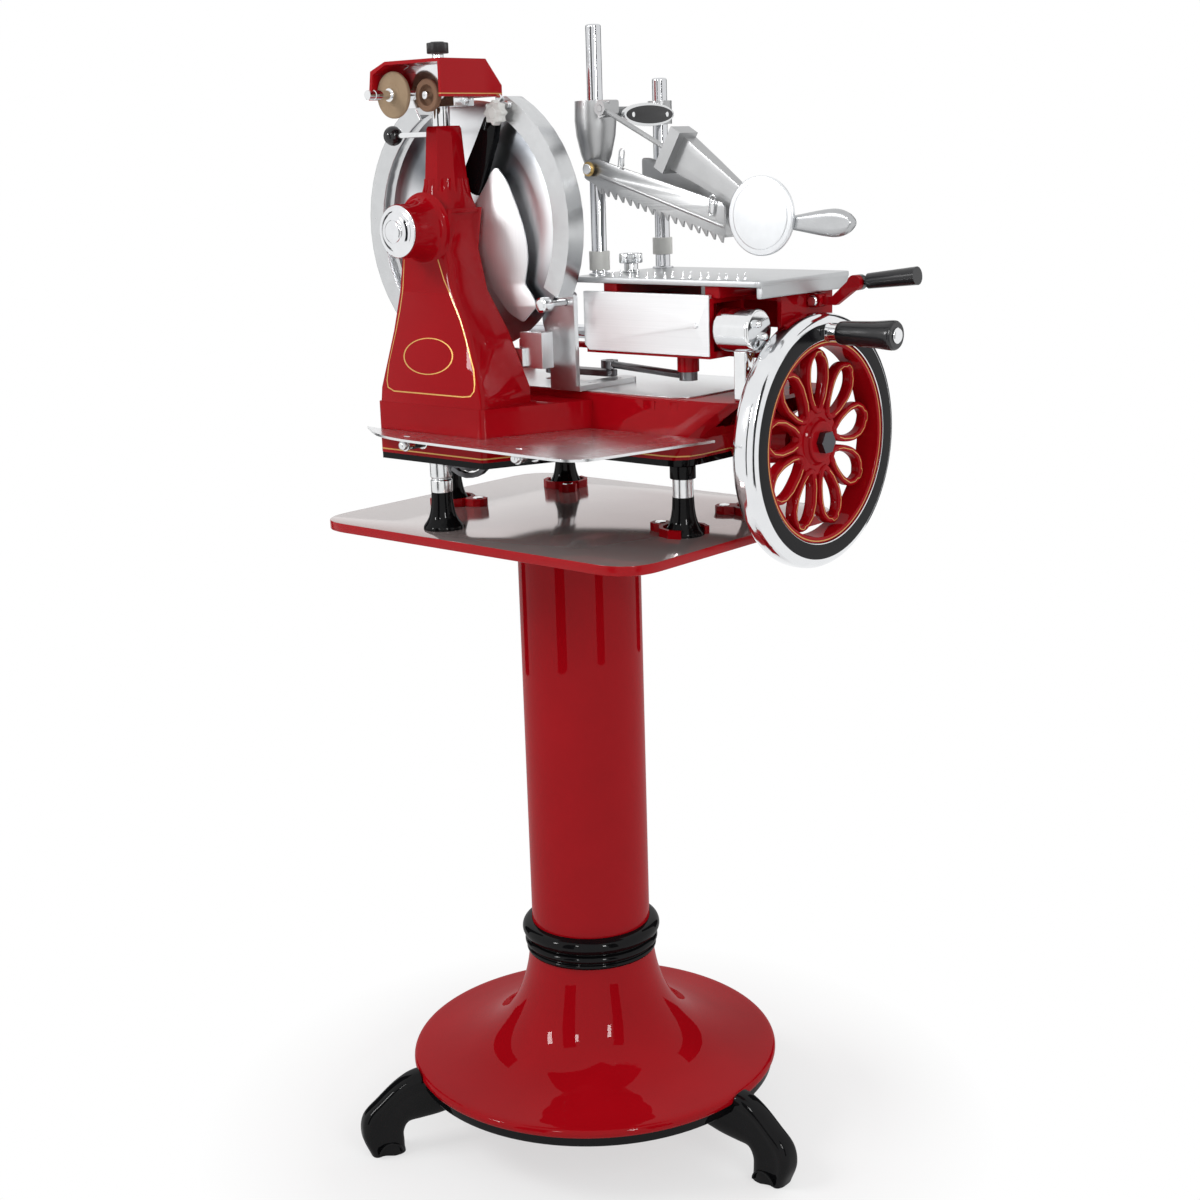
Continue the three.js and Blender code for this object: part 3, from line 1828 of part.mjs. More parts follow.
function rightSupport() {
  const cap = turned(
    "x",
    [
      [0, right_cap_start],
      [right_cap_radius - cup_wall, right_cap_start],
      [right_cap_radius, right_cap_start + cup_wall],
      [right_cap_radius, right_cap_end - cup_wall],
      [right_cap_radius - cup_wall, right_cap_end],
      [0, right_cap_end],
    ],
    guide_y,
    right_cap_z,
    28,
  );
  const half = right_post_depth / 2;
  const post = block(
    right_post_left,
    right_post_left + right_post_width,
    guide_y - half,
    guide_y + half,
    arm_top,
    right_cap_z,
  );
  const socket = rod(
    "x",
    guide_radius + fit_gap,
    right_cap_start - overrun,
    guide_right + fit_gap,
    guide_y,
    guide_z,
  );
  return cut(join(cap, post), socket);
}
node("guide_support_right", rightSupport(), chrome);

// Carriage casting: open box round the guide bar, shelf behind it, slide bars on top
const lever_pivot_x_near = carriage_end + lever_width;
const lever_back = lever_y + lever_width / 2;
const lever_front = lever_y - lever_width / 2;
const rod_top = rod_bottom + rod_thickness;

function carriageBody() {
  const front_box = cut(
    block(carriage_left, carriage_right, carriage_front, carriage_middle, carriage_bottom, carriage_top),
    block(
      carriage_left - overrun,
      carriage_right + overrun,
      carriage_front + carriage_front_wall,
      carriage_middle - carriage_wall,
      carriage_bottom + carriage_front_wall,
      carriage_top - carriage_wall,
    ),
  );
  const webs = [
    carriage_left + bearing_web_inset,
    carriage_right - bearing_web_inset * 1.6 - bearing_web_length,
  ].map(
    (x) => block(x, x + bearing_web_length, carriage_front, carriage_middle, carriage_bottom, carriage_top),
  );
  const shelf = cut(
    block(
      carriage_left,
      carriage_end,
      carriage_middle - carriage_wall,
      carriage_back,
      carriage_rear_bottom,
      carriage_top,
    ),
    block(
      carriage_left + carriage_wall,
      carriage_end - carriage_wall,
      carriage_middle,
      carriage_back - carriage_wall,
      carriage_rear_bottom - overrun,
      carriage_top - carriage_wall,
    ),
    block(
      carriage_right,
      carriage_end + overrun,
      carriage_middle - 2 * carriage_wall,
      carriage_middle,
      carriage_rear_bottom - overrun,
      carriage_top + overrun,
    ),
  );
  const shoe = block(
    shoe_left,
    shoe_left + shoe_length,
    rail_front - edge_step,
    carriage_back,
    rail_top + fit_gap,
    carriage_rear_bottom,
  );
  const slide_top = table_top - table_thickness - slide_gap;
  const slides = [
    carriage_left + slide_bar_inset,
    carriage_end - slide_bar_inset - slide_bar_width * 2,
  ].map((x) =>
    block(x, x + slide_bar_width, carriage_front + carriage_wall, carriage_back, carriage_top, slide_top),
  );
  const boss = join(
    rod("z", rod_boss_radius, rod_top + rod_gap, carriage_bottom, rod_pin_x, rod_pin_y),
    rod("z", rod_pin_radius, rod_bottom - rod_gap, rod_top + rod_gap, rod_pin_x, rod_pin_y, 14),
  );
  const ear_radius = lever_width;
  const ear = (front, back) =>
    join(
      block(
        carriage_end - carriage_wall,
        lever_pivot_x_near,
        front,
        back,
        lever_pivot_z - ear_radius,
        lever_pivot_z + ear_radius,
      ),
      rod("y", ear_radius, front, back, lever_pivot_x_near, lever_pivot_z, 16),
    );
  const ears = join(
    ear(lever_front - fit_gap - carriage_wall, lever_front - fit_gap),
    ear(lever_back + fit_gap, lever_back + fit_gap + carriage_wall),
    rod(
      "y",
      clamp_rod_radius,
      lever_front - carriage_wall,
      lever_back + carriage_wall,
      lever_pivot_x_near,
      lever_pivot_z,
      12,
    ),
  );
  const bar_bore = rod(
    "x",
    guide_radius + fit_gap,
    carriage_left - overrun,
    carriage_right + overrun,
    guide_y,
    guide_z,
    20,
  );
  return cut(join(front_box, ...webs, shelf, shoe, ...slides, boss, ears), bar_bore);
}
node("carriage", carriageBody(), red_paint);

function coverSheet() {
  const front = carriage_front - sheet_thickness;
  const outline = [
    [sheet_left, sheet_bottom + sheet_flange],
    [sheet_left + sheet_flange, sheet_bottom],
    [carriage_right, sheet_bottom],
    [carriage_right, sheet_top],
    [sheet_left, sheet_top],
  ];
  const face = drawn("y", outline, front, carriage_front);
  const flange = block(
    sheet_left,
    carriage_right,
    front,
    carriage_front + sheet_flange - edge_step,
    carriage_top,
    sheet_top,
  );
  const screw_z = mix(sheet_bottom, sheet_top, 0.5);
  const screw = rod("y", bolt_head_radius / 2, front - sheet_thickness, front, sheet_screw_x, screw_z, 10);
  return join(face, flange, screw);
}
node("carriage_sheet", coverSheet(), satin_steel);

function connectingRod() {
  const middle = mix(rod_bottom, rod_top, 0.5);
  const bar = strut(
    [rod_pin_x, rod_pin_y, middle],
    [crank_pin_x, crank_axis_y, middle],
    rod_bar_radius,
    10,
  );
  const nut_at = (share) => [
    mix(rod_pin_x, crank_pin_x, share),
    mix(rod_pin_y, crank_axis_y, share),
    middle,
  ];
  const nut = strut(nut_at(0.55), nut_at(0.75), rod_thickness / 2 - fit_gap, 6);
  const eyes = join(
    rod("z", rod_eye_radius, rod_bottom, rod_top, rod_pin_x, rod_pin_y, 14),
    rod("z", rod_eye_radius, rod_bottom, rod_top, crank_pin_x, crank_axis_y, 14),
  );
  const hole = (x, y) => rod(
    "z",
    rod_pin_radius + rod_gap,
    rod_bottom - overrun,
    rod_top + overrun,
    x,
    y,
    12,
  );
  return cut(join(bar, nut, eyes), hole(rod_pin_x, rod_pin_y), hole(crank_pin_x, crank_axis_y));
}
node("connecting_rod", connectingRod(), dark_steel);

// Sliding table with two rows of spikes, its posts and knob
function tablePlate() {
  const low = table_top - table_thickness;
  const top = drawn(
    "z",
    softened(rectangle(table_left, table_right, table_front, table_back), 2 * edge_step),
    low,
    table_top,
  );
  const lip = block(
    table_right - table_lip_thickness,
    table_right,
    table_front + 2 * edge_step,
    table_back - 2 * edge_step,
    low - table_lip,
    low,
  );
  const spikes = [];
  for (let i = 0; i < spike_count; i++) {
    const x = mix(spike_first_x, spike_last_x, i / (spike_count - 1));
    for (const y of [spike_row_front, spike_row_back]) {
      spikes.push(
        turned(
          "z",
          [[0, table_top - cup_wall], [spike_radius, table_top - cup_wall], [0, table_top + spike_height]],
          x,
          y,
          5,
        ),
      );
    }
  }
  return join(top, lip, ...spikes);
}
node("table", tablePlate(), cast_aluminium);

function post(y, top, collar_low, collar_high) {
  return turned(
    "z",
    [
      [0, table_top],
      [post_radius, table_top],
      [post_radius, collar_low],
      [post_collar_radius, collar_low],
      [post_collar_radius, collar_high],
      [post_radius, collar_high],
      [post_radius, top - cup_wall],
      [post_radius - cup_wall, top],
      [0, top],
    ],
    post_x,
    y,
    16,
  );
}
node("post_left", post(left_post_y, left_post_top, left_collar_bottom, left_collar_top), chrome);
node("post_right", post(right_post_y, right_post_top, right_collar_bottom, right_collar_top), chrome);
node(
  "table_knob",
  turned(
    "z",
    [
      [0, table_top],
      [table_knob_radius * 0.6, table_top],
      [table_knob_radius * 0.6, mix(table_top, table_knob_top, 0.45)],
      [table_knob_radius, mix(table_top, table_knob_top, 0.5)],
      [table_knob_radius, table_knob_top - cup_wall],
      [table_knob_radius - cup_wall, table_knob_top],
      [0, table_knob_top],
    ],
    table_knob_x,
    table_knob_y,
    18,
  ),
  satin_steel,
);

// Press: bracket on both posts, toothed plate, arm with push disc, release paddle
const bell_shares = [
  [1.45, 1],
  [1.5, 0.75],
  [1.4, 0.55],
  [1.1, 0.3],
  [0.8, 0.15],
  [0.8, 0],
];

function pressBracket() {
  const bell = bell_shares.map(([r, h]) => [r * sleeve_radius, mix(fork_bottom, sleeve_top, h)]);
  const body = turned("z", [[0, sleeve_top], ...bell, [0, fork_bottom]], post_x, left_post_y, 18);
  const bar_half = crossbar_width / 2;
  const crossbar = block(
    post_x - bar_half,
    post_x + bar_half,
    left_post_y,
    right_post_y,
    sleeve_top - crossbar_height * 1.5,
    sleeve_top - crossbar_height / 2,
  );
  const paddle_lug = block(
    post_x,
    post_x + right_sleeve_radius + clip_gap,
    mix(left_post_y, right_post_y, 0.5),
    mix(left_post_y, right_post_y, 0.7),
    sleeve_top - crossbar_height * 1.5,
    sleeve_top - crossbar_height / 2,
  );
  const right_sleeve = rod(
    "z",
    right_sleeve_radius,
    sleeve_top - crossbar_height * 2,
    sleeve_top,
    post_x,
    right_post_y,
    20,
  );
  const ear = drawn(
    "y",
    softened(
      [
        [post_x, arm_pivot_z - sleeve_radius],
        [arm_pivot_x + arm_rod_radius * 2, arm_pivot_z - arm_rod_radius * 2],
        [arm_pivot_x + arm_rod_radius * 2, sleeve_top],
        [post_x, sleeve_top],
      ],
      [0, arm_rod_radius, arm_rod_radius, 0],
      2,
    ),
    press_front + edge_step,
    left_post_y,
  );
  const pin = (x, z) => rod(
    "y",
    plate_pin_radius,
    press_front - press_wall * 2,
    left_post_y - post_radius - edge_step,
    x,
    z,
    12,
  );
  const ear_pin = rod(
    "y",
    plate_pin_radius,
    press_front - press_wall * 3,
    left_post_y,
    arm_pivot_x,
    arm_pivot_z,
    12,
  );
  const bore = (y) => rod(
    "z",
    post_radius + fit_gap,
    fork_bottom - overrun,
    sleeve_top + overrun,
    post_x,
    y,
    16,
  );
  return cut(
    join(body, crossbar, paddle_lug, right_sleeve, ear, pin(plate_pivot_x, plate_pivot_z), ear_pin),
    bore(left_post_y),
    bore(right_post_y),
  );
}
node("press_bracket", pressBracket(), cast_aluminium);

function pressPlate() {
  const slope = (press_right_bottom - press_left_bottom) / (press_right_x - press_left_x);
  const teeth = [];
  const pitch = (press_right_x - press_left_x) / tooth_count;
  for (let i = 0; i < tooth_count; i++) {
    const x = press_left_x + i * pitch;
    teeth.push([x, press_left_bottom + (x - press_left_x) * slope]);
    teeth.push(
      [x + pitch * 0.7, press_left_bottom + (x + pitch * 0.5 - press_left_x) * slope - tooth_depth],
    );
    teeth.push([x + pitch * 0.8, press_left_bottom + (x + pitch * 0.8 - press_left_x) * slope]);
  }
  const tab = plate_pin_radius * 2.5;
  const outline = [
    [plate_pivot_x - tab, plate_pivot_z - tab],
    ...teeth,
    [press_right_x, press_right_bottom],
    [press_right_x, press_right_top],
    [press_left_x, press_left_top],
    [plate_pivot_x - tab, press_left_top],
  ];
  const front = drawn("y", outline, press_front, press_front + press_wall);
  const channel = [
    [press_left_x, press_left_bottom],
    [press_right_x, press_right_bottom],
    [press_right_x, press_right_bottom + press_wall],
    [press_left_x, press_left_bottom + press_wall],
  ];
  const floor = drawn("y", channel, press_front, press_back);
  const back = drawn(
    "y",
    [
      [press_left_x, press_left_bottom],
      [press_right_x, press_right_bottom],
      [press_right_x, mix(press_right_bottom, press_right_top, 0.6)],
      [press_left_x + post_collar_radius, press_left_top],
      [press_left_x, press_left_top],
    ],
    press_back - press_wall,
    press_back,
  );
  const hole = rod(
    "y",
    plate_pin_radius + fit_gap,
    press_front - overrun,
    press_front + press_wall + overrun,
    plate_pivot_x,
    plate_pivot_z,
    14,
  );
  return cut(join(front, floor, back), hole);
}
node("press_plate", pressPlate(), cast_aluminium);

const disc_back = disc_y + disc_thickness;
function pressArm() {
  const front = press_front - press_wall * 3;
  const eye_front = front + fit_gap;
  const eye_back = press_front + edge_step - fit_gap;
  const eye = rod("y", plate_pin_radius * 2, eye_front, eye_back, arm_pivot_x, arm_pivot_z, 16);
  const rod_y = mix(eye_front, eye_back, 0.5);
  const upper_rod = strut(
    [arm_pivot_x, rod_y, arm_pivot_z],
    [arm_block_x, rod_y, arm_block_z],
    arm_rod_radius,
    10,
  );
  const lean = Math.atan2(disc_z - arm_block_z, disc_x - arm_block_x);
  const along = [Math.cos(lean), Math.sin(lean)];
  const at = (distance, rise) => [
    arm_block_x + along[0] * distance - along[1] * rise,
    arm_block_z + along[1] * distance + along[0] * rise,
  ];
  const half = arm_block_height / 2;
  const block_front = rod_y - arm_rod_radius;
  const inclined = drawn(
    "y",
    [at(0, -half), at(arm_block_length, -half), at(arm_block_length, half), at(0, half)],
    block_front,
    block_front + arm_block_depth,
  );
  const reach = Math.hypot(disc_x - arm_block_x, disc_z - arm_block_z);
  const section = (distance, rise_half, low, high) => {
    const bottom = at(distance, -rise_half);
    const top = at(distance, rise_half);
    return softened(
      [
        [0, low],
        [1, low],
        [1, high],
        [0, high],
      ],
      0.25,
      2,
    ).map(([share, y]) => [mix(bottom[0], top[0], share), y, mix(bottom[1], top[1], share)]);
  };
  const low_y = disc_back;
  const cast_arm = skinned([
    section(arm_block_length - edge_step, half * 0.8, low_y, block_front + arm_block_depth),
    section(reach * 0.4, half * 0.62, low_y, block_front + arm_block_depth * 0.9),
    section(reach * 0.8, half * 0.4, low_y, block_front + arm_block_depth * 0.7),
    section(reach + arm_rod_radius, half * 0.3, low_y, block_front + arm_block_depth * 0.6),
  ]);
  const thin_start = at(0, -half * 0.6);
  const thin_end = [disc_x, disc_z + arm_rod_radius];
  const thin_rod = strut(
    [thin_start[0], low_y + arm_rod_radius, thin_start[1]],
    [thin_end[0], low_y + arm_rod_radius, thin_end[1]],
    arm_rod_radius / 2,
    8,
  );
  const pin_hole = rod(
    "y",
    plate_pin_radius + fit_gap,
    front - overrun,
    eye_back + overrun,
    arm_pivot_x,
    arm_pivot_z,
    14,
  );
  return cut(join(eye, upper_rod, inclined, cast_arm, thin_rod), pin_hole);
}
node("press_arm", pressArm(), cast_aluminium);

function pressDisc() {
  const disc = rod("y", disc_radius, disc_y, disc_back, disc_x, disc_z, 32);
  const handle_shares = [
    [0, 0.4],
    [0.2, 0.55],
    [0.6, 0.95],
    [0.8, 1],
    [0.94, 0.7],
    [1, 0.2],
  ];
  const start = disc_x + disc_radius * 0.45;
  const rings = handle_shares.map(([along, width]) => {
    const middle_y = disc_back + handle_half_width * 0.45;
    const flatness = Math.min(0.6, width + 0.2);
    return circle(0, 0, handle_half_width, 12).map(([y, z]) => [
      mix(start, handle_end_x, along),
      middle_y + y * flatness,
      handle_z + z * width,
    ]);
  });
  const behind = block(
    disc_x,
    handle_end_x + overrun,
    disc_back - fit_gap,
    disc_back + handle_half_width * 2,
    handle_z - disc_radius,
    handle_z + disc_radius,
  );
  const arm_room = block(
    disc_x - disc_radius,
    start - fit_gap,
    disc_back,
    disc_back + handle_half_width * 2,
    handle_z - disc_radius,
    handle_z + disc_radius,
  );
  return join(disc, cut(skinned(rings).intersect(behind), arm_room));
}
node("press_disc", pressDisc(), polished_steel);

const paddle_face = post_x + right_sleeve_radius + clip_gap;
function releasePaddle() {
  const middle_y = mix(left_post_y, right_post_y, 0.62);
  const middle_z = sleeve_top - crossbar_height * 1.2;
  const outline = Array.from({ length: 18 }, (_, i) => {
    const angle = (2 * Math.PI * i) / 18;
    return [middle_y + paddle_half_length * Math.cos(angle), middle_z + crossbar_height * Math.sin(angle)];
  });
  return drawn("x", outline, paddle_face, paddle_face + paddle_thickness);
}
node("release_paddle", releasePaddle(), black_plastic);

// Folding lever on the carriage's end
function foldLever() {
  const half = lever_bar_height / 2;
  const bend_x = mix(lever_pivot_x_near, lever_hub_x, 0.5);
  const outline = [
    [lever_pivot_x_near, lever_pivot_z - half],
    [bend_x, lever_pivot_z - half],
    [lever_hub_x + half, lever_hub_z - half],
    [lever_hub_x - half, lever_hub_z + half],
    [bend_x - half, lever_pivot_z + half],
    [lever_pivot_x_near, lever_pivot_z + half],
  ];
  const bar = drawn("y", outline, lever_front, lever_back);
  const near_eye = rod(
    "y",
    lever_width - fit_gap * 2,
    lever_front,
    lever_back,
    lever_pivot_x_near,
    lever_pivot_z,
    16,
  );
  const far_eye = rod("y", lever_hub_radius, lever_front, lever_back, lever_hub_x, lever_hub_z, 18);
  const far_pin = rod(
    "y",
    clamp_rod_radius,
    lever_back,
    lever_back + lever_width,
    lever_hub_x,
    lever_hub_z,
    12,
  );
  const hole = rod(
    "y",
    clamp_rod_radius + fit_gap,
    lever_front - overrun,
    lever_back + overrun,
    lever_pivot_x_near,
    lever_pivot_z,
    14,
  );
  return cut(join(bar, near_eye, far_eye, far_pin), hole);
}
node("fold_lever", foldLever(), red_paint);

function foldGrip() {
  const eye_front = lever_back + fit_gap;
  const eye_back = eye_front + lever_width;
  const eye = cut(
    rod("y", lever_hub_radius, eye_front, eye_back, lever_hub_x, lever_hub_z, 18),
    rod(
      "y",
      clamp_rod_radius + fit_gap,
      eye_front - overrun,
      eye_back + overrun,
      lever_hub_x,
      lever_hub_z,
      14,
    ),
  );
  const axis_y = mix(eye_front, eye_back, 0.5);
  const neck = strut(
    [lever_hub_x + lever_hub_radius - cup_wall, axis_y, lever_hub_z],
    [fold_grip_start + edge_step, axis_y, mix(lever_hub_z, fold_grip_end_z, 0.25)],
    lever_width / 2 - fit_gap,
    12,
  );
  const grip = strut(
    [fold_grip_start, axis_y, mix(lever_hub_z, fold_grip_end_z, 0.2)],
    [fold_grip_end, axis_y, fold_grip_end_z],
    fold_grip_radius,
    18,
    fold_grip_radius + edge_step / 2,
  );
  return join(eye, neck, grip);
}
node("fold_grip", foldGrip(), black_plastic);

// The frame's origin moves to the middle of the footprint, at the floor.
const box = new THREE.Box3().setFromObject(slicer);
const centre = box.getCenter(new THREE.Vector3());
slicer.children.forEach((piece) => piece.geometry.translate(-centre.x, -centre.y, -box.min.z));

export default slicer;
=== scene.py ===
import math

import bmesh
import bpy
from mathutils import Matrix, Vector


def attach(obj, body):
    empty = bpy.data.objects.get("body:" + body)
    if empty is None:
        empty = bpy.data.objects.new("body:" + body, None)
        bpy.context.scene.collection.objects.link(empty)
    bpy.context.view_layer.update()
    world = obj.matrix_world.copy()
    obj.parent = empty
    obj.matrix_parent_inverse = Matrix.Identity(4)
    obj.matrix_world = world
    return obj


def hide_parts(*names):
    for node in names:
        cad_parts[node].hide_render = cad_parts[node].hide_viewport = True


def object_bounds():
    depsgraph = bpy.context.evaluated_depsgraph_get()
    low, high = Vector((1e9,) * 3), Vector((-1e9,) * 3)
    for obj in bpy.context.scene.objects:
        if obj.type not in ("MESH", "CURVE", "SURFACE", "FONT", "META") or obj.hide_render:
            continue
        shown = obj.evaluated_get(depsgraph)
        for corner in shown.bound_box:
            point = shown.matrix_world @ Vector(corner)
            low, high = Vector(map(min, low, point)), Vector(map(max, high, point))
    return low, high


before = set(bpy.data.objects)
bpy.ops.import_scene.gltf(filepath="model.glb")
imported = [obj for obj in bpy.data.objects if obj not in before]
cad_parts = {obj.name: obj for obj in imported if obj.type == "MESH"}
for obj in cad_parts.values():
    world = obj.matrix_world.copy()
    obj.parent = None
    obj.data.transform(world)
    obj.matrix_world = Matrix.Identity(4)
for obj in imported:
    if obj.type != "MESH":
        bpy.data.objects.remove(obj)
cad_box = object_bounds()

# Base ring and its three legs. The real piece is one iron casting, fettled, filled and stoved in
# gloss black, and the dome is bolted down on its ring. Each leg ends in a square toe with a raised
# arch on both sides.
axis_shift, floor_shift = 79.7, 22


def here(x, y, z):
    """A place counted in millimetres from the column's axis, in the frame's metres."""
    return Vector((x - axis_shift, y, z + floor_shift)) / 1000


def measured(v):
    """A vertex's place in millimetres from the column's axis."""
    return v.co.x * 1000 + axis_shift, v.co.y * 1000, v.co.z * 1000 - floor_shift


def across(axis, centre, u, v, along):
    """A place beside a turning axis: u and v lie across it, along lies on it."""
    if axis == "x":
        return here(along, centre[0] + u, centre[1] + v)
    if axis == "y":
        return here(centre[0] + u, along, centre[1] + v)
    return here(centre[0] + u, centre[1] + v, along)


def placed(name, data):
    """Puts new data into the scene as an object."""
    piece = bpy.data.objects.new(name, data)
    bpy.context.scene.collection.objects.link(piece)
    return piece


def shaded(name, shape, crease=32):
    """Ends a mesh: outward faces, smooth skin, sharp creases."""
    bmesh.ops.recalc_face_normals(shape, faces=shape.faces)
    mesh = bpy.data.meshes.new(name)
    shape.to_mesh(mesh)
    shape.free()
    mesh.shade_smooth()
    mesh.set_sharp_from_angle(angle=math.radians(crease))
    return placed(name, mesh)


def eased(corners, reach, steps=4, closed=False):
    """Rounds the corners between a line's two ends or, closed, every corner of an outline."""
    reaches = reach if hasattr(reach, "__len__") else [reach] * len(corners)
    most = 0.48
    line = []
    for i, ease in enumerate(reaches):
        c = Vector(corners[i])
        if ease <= 0 or not closed and i in (0, len(corners) - 1):
            line.append(tuple(c))
            continue
        b, a = Vector(corners[i - 1]), Vector(corners[(i + 1) % len(corners)])
        start = c + (b - c).normalized() * min(ease, (b - c).length * most)
        end = c + (a - c).normalized() * min(ease, (a - c).length * most)
        for k in range(steps + 1):
            t = k / steps
            line.append(tuple(start.lerp(c, t).lerp(c.lerp(end, t), t)))
    return line


def flowing(points, steps=5):
    """A smooth line through every point, for castings and spun shapes."""
    row = [Vector(p) for p in points]
    row = [2 * row[0] - row[1], *row, 2 * row[-1] - row[-2]]
    line = []
    for a, b, c, d in zip(row, row[1:], row[2:], row[3:]):
        for i in range(steps):
            t = i / steps
            bend, twist = 2 * a - 5 * b + 4 * c - d, 3 * b - a - 3 * c + d
            line.append(0.5 * (2 * b + (c - a) * t + bend * t * t + twist * t ** 3))
    line.append(row[-2])
    return [tuple(p) for p in line]


def bridged(shape, rings):
    """Faces between each ring of places and the next."""
    for low, high in zip(rings, rings[1:]):
        for i in range(len(low)):
            j = (i + 1) % len(low)
            corners = list(dict.fromkeys((low[i], low[j], high[j], high[i])))
            if len(corners) > 2:
                shape.faces.new(corners)


def turned(name, profile, axis="z", centre=(0, 0), sides=96, crease=32):
    """A profile of (radius, along) turned on a lathe; one that never meets the axis closes on itself."""
    shape = bmesh.new()
    turns = [2 * math.pi * i / sides for i in range(sides)]
    thin = 1e-6
    rings = []
    for radius, along in profile:
        if radius < thin:
            rings.append([shape.verts.new(across(axis, centre, 0, 0, along))] * sides)
            continue
        spots = [across(axis, centre, radius * math.cos(t), radius * math.sin(t), along) for t in turns]
        rings.append([shape.verts.new(p) for p in spots])
    if profile[0][0] > thin and profile[-1][0] > thin:
        rings.append(rings[0])
    bridged(shape, rings)
    return shaded(name, shape, crease)


def skinned(name, rings, crease=40):
    """Rings of the same number of places, skinned one to the next and closed at both ends."""
    shape = bmesh.new()
    rows = [[shape.verts.new(p) for p in ring] for ring in rings]
    bridged(shape, rows)
    shape.faces.new(rows[0][::-1])
    shape.faces.new(rows[-1])
    return shaded(name, shape, crease)


def plate_cut(axis, outlines, low, high, edge):
    """The shape of a plate cut to a flat outline, the first, with holes, the rest, and eased edges."""
    curve = bpy.data.curves.new("outline", "CURVE")
    curve.dimensions = "2D"
    curve.fill_mode = "BOTH"
    curve.extrude = (high - low) / 2 - edge
    curve.bevel_depth = edge
    curve.bevel_resolution = 2 if edge > 2 else 1
    curve.offset = -edge
    for outline in outlines:
        spline = curve.splines.new("POLY")
        spline.points.add(len(outline) - 1)
        for point, (u, v) in zip(spline.points, outline):
            point.co = (u, v, 0, 1)
        spline.use_cyclic_u = True
    drawing = placed("drawing", curve)
    seen = drawing.evaluated_get(bpy.context.evaluated_depsgraph_get())
    flat = bpy.data.meshes.new_from_object(seen)
    middle = (low + high) / 2
    for v in flat.vertices:
        v.co = across(axis, (0, 0), v.co.x, v.co.y, v.co.z + middle)
    bpy.data.objects.remove(drawing)
    bpy.data.curves.remove(curve)
    return flat


def sawn(name, axis, outlines, low, high, edge=0.6, crease=32, many=False):
    """A plate cut to its outline, or, with many, several plates of one thickness as one piece."""
    shape = bmesh.new()
    for group in outlines if many else [outlines]:
        flat = plate_cut(axis, group, low, high, edge)
        shape.from_mesh(flat)
        bpy.data.meshes.remove(flat)
    bmesh.ops.remove_doubles(shape, verts=shape.verts, dist=1e-6)
    return shaded(name, shape, crease)


def wired(tree, kind, settings, sockets):
    """One node of a tree, with its settings and what goes into it."""
    node = tree.nodes.new(kind)
    for key, value in settings.items():
        setattr(node, key, value)
    for key, value in sockets.items():
        value = value.socket if isinstance(value, Wire) else value
        if isinstance(value, bpy.types.NodeSocket):
            tree.links.new(value, node.inputs[key])
        else:
            node.inputs[key].default_value = value
    return node


class Wire:
    """A socket of a finish, so that what is worked out from it reads as a sum."""

    def __init__(self, finish, socket):
        self.finish, self.socket = finish, socket


def worked(operation, swapped=False):
    """One way of working on wires, as a Math node."""

    def work(self, other=0.0):
        first, second = (other, self) if swapped else (self, other)
        return self.finish.add("ShaderNodeMath", {"operation": operation}, {0: first, 1: second})[0]

    return work


for way, operation in {
    "__add__": "ADD", "__radd__": "ADD", "__mul__": "MULTIPLY", "__rmul__": "MULTIPLY",
    "__sub__": "SUBTRACT", "__truediv__": "DIVIDE", "__gt__": "GREATER_THAN", "__lt__": "LESS_THAN",
    "__abs__": "ABSOLUTE", "root": "SQRT", "wave": "SINE", "cosine": "COSINE", "arctan2": "ARCTAN2",
    "at_most": "MINIMUM", "at_least": "MAXIMUM",
}.items():
    setattr(Wire, way, worked(operation))
Wire.__rsub__ = worked("SUBTRACT", True)


def apart(u, v):
    """How far u and v reach together."""
    return (u * u + v * v).root()


